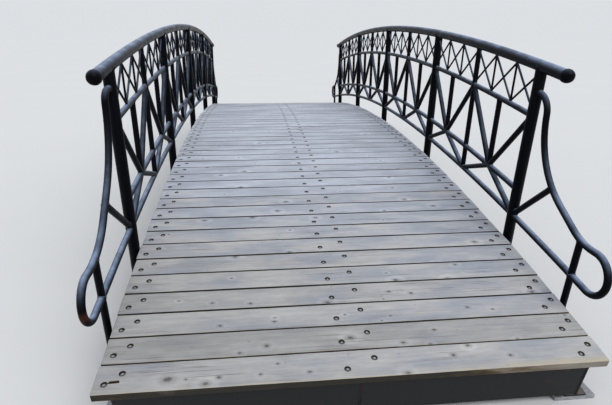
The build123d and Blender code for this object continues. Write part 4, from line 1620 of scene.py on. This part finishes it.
@dataclass
class Railing:
    """One side's railing, made at the right and mirrored to its side."""

    arc: DeckArc
    side: Side
    bends: ScrollBends
    rail_x: float = 1.09915
    pipe_radius: float = 0.03015
    tube_radius: float = 0.0167
    rod_radius: float = 0.00635
    bay_count: int = 4
    post_spacing: float = 1.488
    handrail_height: float = 0.985
    mid_rail_height: float = 0.723
    lower_rail_height: float = 0.290
    bottom_rail_height: float = 0.131
    panels_per_half_bay: int = 3
    post_foot_depth: float = 0.225
    pipe_wall: float = 0.0036
    bore_length: float = 0.03
    rim_chamfer: Pair = (0.0008, 0.0015)
    handrail_overhang: float = 0.215
    cap_radius: float = 0.0345
    cap_collar: float = 0.014
    cap_dome: float = 0.030
    cap_lip: float = 0.0012
    scroll_post_offset: float = 0.120
    scroll_loop_radius: float = 0.0995
    scroll_loop_reach: float = 0.728
    strut_scroll_height: float = 0.397
    short_post_offset: float = 0.593
    handrail_trim: float = 0.00012
    pipe_sides: int = 32
    scroll_sides: int = 24
    tube_sides: int = 20
    rod_sides: int = 10
    bend_steps: int = 14
    loop_steps: int = 32
    rail_steps: int = 25
    handrail_steps: int = 121
    outer_run_steps: int = 600
    local_reach: int = 8
    pipe_bead: tuple[float, int] = (0.0042, 40)
    tube_bead: tuple[float, int] = (0.0034, 24)
    rod_bead: tuple[float, int] = (0.0021, 12)
    rust_offset: Pair = (-0.098, -0.030)
    rust_radius: float = 0.013

    @property
    def end_station(self) -> float:
        """Station of the far end post."""
        return self.bay_count * self.post_spacing / 2

    @property
    def stations(self) -> Array:
        """Stations of the main posts."""
        return np.linspace(-self.end_station, self.end_station, self.bay_count + 1)

    def lift(self, point: Array) -> Array:
        """Return a (y, z) point in the right railing's plane."""
        return np.array([self.rail_x, point[0], point[1]])

    def spot(self, station: float, height: float) -> Array:
        """Return the point of a post's line at a height, in the right railing's plane."""
        return self.lift(self.arc.post_point(station, height))

    def member(self, first: Pair, second: Pair, radius: float) -> Member:
        """Return a straight member between two places given as (station, height)."""
        return Member(self.spot(*first), self.spot(*second), radius)

    def rail_at(self, station: float, height: float, radius: float) -> Member:
        """Return the local line of a curved rail where a post's line crosses it."""
        step = 0.1 * arc_directions(self.arc.post_angle(station, height))[0]
        return Member(self.spot(station, height) - step, self.spot(station, height) + step, radius)

    def post_line(self, station: float, radius: float) -> Member:
        """Return a post's line from under the deck to the handrail."""
        return self.member((station, -self.post_foot_depth), (station, self.handrail_height), radius)

    def straight(self, member: Member, sides: int) -> Surface:
        """Return a straight round tube."""
        path = np.stack([member.start[1:], member.end[1:]])
        return bent_tube(self.rail_x, path, member.radius, sides)

    def joint(self, start: Array, end: Array, host: Member) -> Surface:
        """Return the bead where a tube that runs from a start to an end meets a host."""
        return weld(Member(start, end, self.tube_radius), [host], *self.tube_bead)

    def hosts_at(self, station: float, height: float) -> list[Member]:
        """Return the tubes that a bar may end on at a node of the lattice.

        Args:
            station: the node's station.
            height: the bar's end.

        Returns:
            The rail that is nearest to the end, and a post where one stands at the station.
        """
        is_high = height > self.mid_rail_height + self.tube_radius + self.rod_radius
        is_mid = abs(height - self.mid_rail_height) < 2 * self.tube_radius
        rail_height = self.mid_rail_height if is_mid else self.handrail_height if is_high else height
        hosts = [self.rail_at(station, rail_height, self.pipe_radius if is_high else self.tube_radius)]
        share = (station + self.end_station) / (self.post_spacing / 2)
        if abs(share - round(share)) < 1e-6:
            is_main = round(share) % 2 == 0
            hosts.append(self.post_line(station, self.pipe_radius if is_main else self.tube_radius))
        return hosts

    def bar_with_welds(self, first: Pair, second: Pair, radius: float) -> tuple[Surface, list[Surface]]:
        """Return a straight bar of the lattice and the beads at its two ends.

        Args:
            first: station and height of one end.
            second: station and height of the other.
            radius: the bar's radius.

        Returns:
            The bar and its beads.
        """
        is_rod = radius < self.tube_radius
        bar = self.member(first, second, radius)
        bead = self.rod_bead if is_rod else self.tube_bead
        beads = [
            weld(Member(bar.middle, end, radius), self.hosts_at(*place), *bead)
            for end, place in ((bar.end, second), (bar.start, first))
        ]
        return self.straight(bar, self.rod_sides if is_rod else self.tube_sides), beads

    def half_bay(self, start: float) -> tuple[list[Surface], list[Surface]]:
        """Return the bars and beads of one half bay.

        Crossed rods fill the panels over the mid rail, with an upright rod between panels. Below
        it, tubes run from the middle of the lower rail to the mid and bottom rails.

        Args:
            start: station of its near end.

        Returns:
            The bars and the beads.
        """
        step = self.post_spacing / 2
        top, bottom = self.handrail_height - self.pipe_radius, self.mid_rail_height + self.tube_radius
        count = self.panels_per_half_bay
        runs = []
        for panel in range(count):
            low, high = start + step * panel / count, start + step * (panel + 1) / count
            runs.append(((low, bottom), (high, top), self.rod_radius))
            runs.append(((high, bottom), (low, top), self.rod_radius))
            if panel > 0:
                runs.append(((low, bottom), (low, top), self.rod_radius))
        middle, end = start + step / 2, start + step
        hub = (middle, self.lower_rail_height)
        rim = [(station, self.mid_rail_height) for station in (start, middle, end)]
        rim += [(station, self.bottom_rail_height) for station in (start, end)]
        runs += [(hub, place, self.tube_radius) for place in rim]
        made = [self.bar_with_welds(*run) for run in runs]
        return [bar for bar, _ in made], [bead for _, beads in made for bead in beads]

    def panel(self, start: float) -> tuple[Surface, list[Surface]]:
        """Return one bay's lattice: bars, three curved rails and the middle post.

        Args:
            start: station of the bay's near post.

        Returns:
            The lattice and its beads.
        """
        end, middle = start + self.post_spacing, start + self.post_spacing / 2
        halves = [self.half_bay(start), self.half_bay(middle)]
        bars = [bar for half_bars, _ in halves for bar in half_bars]
        beads = [bead for _, half_beads in halves for bead in half_beads]
        heights = (self.bottom_rail_height, self.lower_rail_height, self.mid_rail_height)
        for height in heights:
            angles = self.arc.post_angle(start, height), self.arc.post_angle(end, height)
            path = self.arc.rail_path(height, *angles, self.rail_steps)
            bars.append(bent_tube(self.rail_x, path, self.tube_radius, self.tube_sides))
            near, far = (self.rail_at(station, height, self.tube_radius) for station in (start, end))
            beads.append(self.joint(near.end, near.start, self.post_line(start, self.pipe_radius)))
            beads.append(self.joint(far.start, far.end, self.post_line(end, self.pipe_radius)))
        post = self.member((middle, heights[0]), (middle, self.handrail_height), self.tube_radius)
        bars.append(self.straight(post, self.tube_sides))
        levels = (*heights, self.handrail_height)
        for low, high in zip(levels[:-1], levels[1:]):
            run = self.member((middle, low), (middle, high), self.tube_radius)
            top_radius = self.pipe_radius if high == self.handrail_height else self.tube_radius
            beads.append(self.joint(run.middle, run.end, self.rail_at(middle, high, top_radius)))
            beads.append(self.joint(run.middle, run.start, self.rail_at(middle, low, self.tube_radius)))
        return joined(bars), beads

    def handrail_end_angle(self) -> float:
        """Return the arc angle of the pipe's far end."""
        reach = self.handrail_overhang / (self.arc.radius + self.handrail_height)
        return self.arc.post_angle(self.end_station, self.handrail_height) + reach

    def handrail(self) -> Surface:
        """Return the handrail's pipe between its caps, a hair slimmer so that it stays in the CAD box."""
        end = self.handrail_end_angle()
        path = self.arc.rail_path(self.handrail_height, -end, end, self.handrail_steps)
        return bent_tube(self.rail_x, path, self.pipe_radius - self.handrail_trim, self.pipe_sides)

    def cap(self) -> Surface:
        """Return the near cap: a collar with softened edges and a dome, turned about the pipe's line.

        The dome's section is a quarter of an ellipse: the radius goes with the cosine of an angle
        and the height over the collar with its sine.
        """
        angle = -self.handrail_end_angle()
        seat = self.lift(self.arc.point(self.arc.radius + self.handrail_height, angle))
        inward, up = arc_directions(angle)
        turns = np.linspace(0, np.pi / 2, self.bend_steps)[1:]
        inner, outer = self.cap_radius - self.cap_lip, self.cap_radius
        radii = np.concatenate([[0, inner, outer, outer], np.cos(turns) * inner])
        radii[-1] = 0.0
        collar = [0, 0, self.cap_lip, self.cap_collar - self.cap_lip]
        heights = np.concatenate([collar, self.cap_collar + self.cap_dome * np.sin(turns)])
        return turned(seat - heights[:, None] * inward, radii, X_AXIS, up, self.pipe_sides)

    def open_foot(self, station: float, radius: float, top_height: float, sides: int) -> Surface:
        """Return a post with an open pipe end at its foot and a flat top inside what it carries.

        Args:
            station: where the post stands.
            radius: its outer radius.
            top_height: height of its top.
            sides: points round it.

        Returns:
            The closed surface: the bore, the chamfered rim and the outside.
        """
        line = self.member((station, -self.post_foot_depth), (station, top_height), radius)
        length = np.linalg.norm(line.end - line.start)
        bore = radius - self.pipe_wall
        inset, rise = self.rim_chamfer
        offsets = np.array([self.bore_length, self.bore_length, 0.0, 0.0, rise, length, length])
        radii = np.array([0.0, bore, bore, radius - inset, radius, radius, 0.0])
        centres = line.start + offsets[:, None] * line.direction
        return turned(centres, radii, X_AXIS, np.cross(line.direction, X_AXIS), sides)

    def main_posts(self) -> tuple[Surface, list[Surface]]:
        """Return the five main posts and the beads under the handrail."""
        posts, beads = [], []
        for station in self.stations:
            posts.append(self.open_foot(station, self.pipe_radius, self.handrail_height, self.pipe_sides))
            rail = self.rail_at(station, self.handrail_height, self.pipe_radius)
            beads.append(weld(self.post_line(station, self.pipe_radius), [rail], *self.pipe_bead))
        return joined(posts), beads

    def loop_centre(self) -> Array:
        """Return the centre (y, z) of the near scroll's loop, which stands on the bottom rail's arc."""
        loop_y = self.arc.post_point(-self.end_station, 0.0)[0] - self.scroll_loop_reach
        distance = self.arc.radius + self.bottom_rail_height + self.scroll_loop_radius
        return np.array([loop_y, self.arc.centre_z + np.sqrt(distance**2 - loop_y**2)])

    def loop_rust(self) -> Spot:
        """Return the place and radius of the rust on the outside of the near scroll's loop."""
        y, z = self.loop_centre() + self.rust_offset
        return (self.rail_x if self.side is Side.RIGHT else -self.rail_x, y, z), self.rust_radius

    def scroll_corners(self) -> Array:
        """Return the corners of the near scroll's outer run, before they are rounded."""
        start = self.arc.post_point(-self.end_station, self.handrail_height - self.bends.start_drop)
        drop_y = start[0] - self.scroll_post_offset
        loop_y, loop_z = self.loop_centre()
        loop_top = loop_z + self.scroll_loop_radius
        return np.array(
            [
                start,
                (drop_y, start[1]),
                (drop_y, start[1] - self.bends.knee_drop),
                (loop_y + self.bends.toe_length, loop_top),
                (loop_y, loop_top),
            ]
        )

    def scroll_path(self) -> Array:
        """Return the near scroll's line: the rounded outer run, the loop and the arc back to the post.

        A corner is rounded by an arc that starts the radius times the tangent of half the turn
        before it. The loop is a circle from its top round the outside to its foot.
        """
        corners = self.scroll_corners()
        radii = (self.bends.bend_radius, self.bends.knee_radius, self.bends.toe_radius)
        parts = [corners[:1]]
        for before, corner, after, radius in zip(corners[:-2], corners[1:-1], corners[2:], radii):
            arriving, leaving = unit(corner - before), unit(after - corner)
            turn = np.arccos(arriving @ leaving)
            inward = unit(leaving - (arriving @ leaving) * arriving)
            start = corner - radius * np.tan(turn / 2) * arriving
            angles = np.linspace(0, turn, self.bend_steps)[:, None]
            parts.append(start + radius * (np.sin(angles) * arriving + (1 - np.cos(angles)) * inward))
        centre = self.loop_centre()
        y, over_centre = centre - (0.0, self.arc.centre_z)
        foot_turn = np.degrees(np.arctan2(over_centre, y)) + 180
        loop = rounded_corner(tuple(centre), self.scroll_loop_radius, 90, foot_turn - 90, self.loop_steps)
        parts.append(loop)
        angles = np.arctan2(y, over_centre), self.arc.post_angle(-self.end_station, self.bottom_rail_height)
        parts.append(self.arc.rail_path(self.bottom_rail_height, *angles, self.bend_steps)[1:])
        path = np.concatenate(parts)
        step = np.linalg.norm(np.diff(path, axis=0), axis=1)
        return path[np.concatenate([[True], step > 1e-5])]

    def outer_run(self, path: Array) -> Array:
        """Return the scroll's path from the end post to the loop's top, in fine steps."""
        top = int(np.argmin(np.linalg.norm(path - self.scroll_corners()[-1], axis=1)))
        share = np.linspace(0, top, self.outer_run_steps)
        return np.column_stack([np.interp(share, np.arange(top + 1), line[: top + 1]) for line in path.T])

    def local_line(self, outer: Array, place: Array) -> Member:
        """Return the scroll's local line near a place."""
        nearest = int(np.argmin(np.linalg.norm(outer - place[1:], axis=1)))
        low, high = max(nearest - self.local_reach, 0), min(nearest + self.local_reach, len(outer) - 1)
        return Member(self.lift(outer[low]), self.lift(outer[high]), self.tube_radius)

    def short_post_top(self, outer: Array, station: float) -> float:
        """Return the tried height at which the short post's line lies nearest to the scroll."""
        heights = np.linspace(self.bottom_rail_height + 0.07, self.mid_rail_height, 300)
        line = np.array([self.arc.post_point(station, height) for height in heights])
        gaps = np.linalg.norm(line[:, None] - outer[None], axis=2).min(axis=1)
        return float(heights[int(np.argmin(gaps))])

    def scroll_parts(self) -> tuple[Surface, Surface, Surface, list[Surface]]:
        """Return the near scroll, its strut, its short post and their beads."""
        path = self.scroll_path()
        outer = self.outer_run(path)
        end_post = self.post_line(-self.end_station, self.pipe_radius)
        foot = self.spot(-self.end_station, self.bottom_rail_height)
        level = self.arc.post_point(-self.end_station, 0.0)[1] + self.strut_scroll_height
        strut_end = self.lift(outer[int(np.argmin(np.abs(outer[:, 1] - level)))])
        strut = Member(foot, strut_end, self.tube_radius)
        station = -self.end_station - self.short_post_offset
        top = self.short_post_top(outer, station)
        head, base = self.spot(station, top), self.spot(station, -self.post_foot_depth)
        halfway = self.spot(station, (top + self.bottom_rail_height) / 2)
        back_run = self.rail_at(station, self.bottom_rail_height, self.tube_radius)
        beads = [
            self.joint(self.lift(path[2]), self.lift(path[0]), end_post),
            self.joint(self.lift(path[-3]), self.lift(path[-1]), end_post),
            self.joint(strut.middle, strut_end, self.local_line(outer, strut_end)),
            self.joint(strut.middle, foot, end_post),
            self.joint(halfway, head, self.local_line(outer, head)),
            self.joint(halfway, base, back_run), self.joint(base, halfway, back_run),
        ]
        tube = bent_tube(self.rail_x, path, self.tube_radius, self.scroll_sides)
        short = self.open_foot(station, self.tube_radius, top, self.tube_sides)
        return tube, self.straight(strut, self.tube_sides), short, beads

    def build(self, paint: Material, cap_paint: Material, beam_paint: Material) -> None:
        """Make all the pieces of this side's railing.

        Args:
            paint: finish of the tubes.
            cap_paint: finish of the handrail's caps.
            beam_paint: finish of the brackets.
        """
        side = self.side.value
        posts, beads = self.main_posts()
        pieces = [
            ("handrail_pipe", self.handrail(), "handrail"),
            ("domed_caps", self.cap().doubled(Mirror.ALONG), "handrail_caps"),
            ("standing_posts", posts, "main_posts"),
        ]
        for bay, start in enumerate(self.stations[:-1], 1):
            lattice, bay_beads = self.panel(start)
            beads += bay_beads
            pieces.append((f"bay_{bay}_lattice", lattice, f"panel_{bay}"))
        scroll, strut, short, scroll_beads = self.scroll_parts()
        beads += scroll_beads + [bead.mirrored(Mirror.ALONG) for bead in scroll_beads]
        pieces += [
            ("near_scroll_tube", scroll, "near_scroll"),
            ("far_scroll_tube", scroll.mirrored(Mirror.ALONG), "far_scroll"),
            ("strut_tubes", strut.doubled(Mirror.ALONG), "scroll_struts"),
            ("low_posts", short.doubled(Mirror.ALONG), "short_posts"),
        ]
        for name, surface, node in pieces:
            finish = cap_paint if node == "handrail_caps" else paint
            make_piece(f"{side}_{name}", surface.placed(self.side), finish, [f"{side}_{node}"])
        make_piece(f"{side}_weld_beads", joined(beads).placed(self.side), paint, [], 60.0)
        dress_node(f"{side}_post_brackets", beam_paint)


@dataclass(frozen=True)
class Studio:
    """A pale floor, soft light and the photograph's camera."""

    floor_radius: float = 140.0
    floor_sides: int = 96
    backdrop: Colour = (0.719, 0.740, 0.766)
    sky: Colour = (0.80, 0.83, 0.88)
    low_sky: Colour = (0.36, 0.37, 0.39)
    key_strength: float = 1.25
    key_softness: float = 38.0
    key_turn: tuple[float, float, float] = (38.0, 24.0, 0.0)
    camera_place: tuple[float, float, float] = (-0.40675, -5.49261, 1.55177)
    yaw: float = 0.1074
    pitch: float = 0.33778
    roll: float = 0.00595
    focal_pixels: float = 478.35864
    image_width: float = 612.0
    sensor_width: float = 36.0
    far_clip: float = 400.0

    def floor(self, effects: Effects) -> None:
        """Make the floor: a plain, pale, round sheet of triangles about the origin."""
        count = self.floor_sides
        rim = np.column_stack([self.floor_radius * circle_points(count), np.zeros(count)])
        loop, following = ring_pairs(count)
        triangles = np.column_stack([np.zeros(count, int), loop + 1, following + 1])
        mesh = bpy.data.meshes.new("studio_floor")
        mesh.from_pydata([[0.0, 0.0, 0.0], *rim.tolist()], [], triangles.tolist())
        mesh.materials.append(PaleFloor("pale_floor").material(effects))
        floor = bpy.data.objects.new("studio_floor", mesh)
        bpy.context.scene.collection.objects.link(floor)

    def light(self) -> None:
        """Make the soft key light and the even light of the room."""
        lamp = bpy.data.lights.new("soft_key", "SUN")
        lamp.energy = self.key_strength
        lamp.angle = np.radians(self.key_softness)
        key = bpy.data.objects.new("soft_key", lamp)
        key.rotation_euler = np.radians(self.key_turn)
        bpy.context.scene.collection.objects.link(key)
        world = bpy.data.worlds.new("studio_world")
        world.use_nodes = True
        world.node_tree.nodes.clear()
        bpy.context.scene.world = world
        graph = Graph(world.node_tree)
        up = graph.parts(graph.add("ShaderNodeTexCoord").outputs["Generated"])[2]
        room = graph.mix(graph.step(up, -0.05, 0.75), self.low_sky, self.sky)
        path = graph.add("ShaderNodeLightPath").outputs
        seen = graph.math("MAXIMUM", path["Is Camera Ray"], path["Is Transmission Ray"])
        seen = graph.math("MAXIMUM", seen, path["Is Glossy Ray"])
        shown = graph.mix(seen, room, self.backdrop)
        background = graph.add("ShaderNodeBackground", {"Color": shown, "Strength": 1.0})
        graph.add("ShaderNodeOutputWorld", {"Surface": background.outputs[0]})

    def camera(self) -> None:
        """Make the camera, its axes worked out from yaw, pitch and roll."""
        ahead, level = np.cos(self.pitch), np.array([np.cos(self.yaw), -np.sin(self.yaw), 0.0])
        forward = np.array([np.sin(self.yaw) * ahead, np.cos(self.yaw) * ahead, -np.sin(self.pitch)])
        upright = np.cross(level, forward)
        right = level * np.cos(self.roll) + upright * np.sin(self.roll)
        up = upright * np.cos(self.roll) - level * np.sin(self.roll)
        lens = bpy.data.cameras.new("photo_camera")
        lens.sensor_fit = "HORIZONTAL"
        lens.sensor_width = self.sensor_width
        lens.lens = self.sensor_width * self.focal_pixels / self.image_width
        lens.clip_end = self.far_clip
        camera = bpy.data.objects.new("photo_camera", lens)
        turn = Matrix(np.column_stack([right, up, -forward]).tolist()).to_4x4()
        camera.matrix_world = Matrix.Translation(Vector(self.camera_place)) @ turn
        bpy.context.scene.collection.objects.link(camera)
        bpy.context.scene.camera = camera

    def build(self, effects: Effects) -> None:
        """Make the whole studio."""
        bpy.context.scene.view_settings.view_transform = "Standard"
        self.floor(effects)
        self.light()
        self.camera()


def main() -> None:
    """Build the studio and the bridge in order."""
    logging.basicConfig(level=logging.INFO, format="%(name)s: %(message)s")
    effects = Effects()
    Studio().build(effects)
    arc = DeckArc()
    right, left = Railing(arc, Side.RIGHT, RIGHT_BENDS), Railing(arc, Side.LEFT, LEFT_BENDS)
    railing_paint = SatinPaint("black_satin_paint", rust_spots=(left.loop_rust(),)).material(effects)
    # The caps take less of the painted sky highlight.
    cap_paint = SatinPaint("black_satin_caps", chalk_and_sky_sheen_amount=0.22).material(effects)
    beam_paint = BeamPaint("matt_beam_paint").material(effects)
    bearing_zinc = Galvanised("galvanised_bearing").material(effects)
    bolt_zinc = Galvanised("galvanised_bolt", stain_amount=0.4, spangle_scale=260.0, reads_grime_and_shade=True)
    deck = Deck(arc)
    boards = BoardFinish("weathered_board").material(effects)
    near_boards = BoardFinish("weathered_near_board", knots=deck.knot_places()).material(effects)
    deck.build(near_boards, boards, bolt_zinc.material(effects))
    BeamFrame(arc).build(beam_paint, bearing_zinc)
    for railing in (right, left):
        railing.build(railing_paint, cap_paint, beam_paint)


if __name__ == "__main__":
    main()
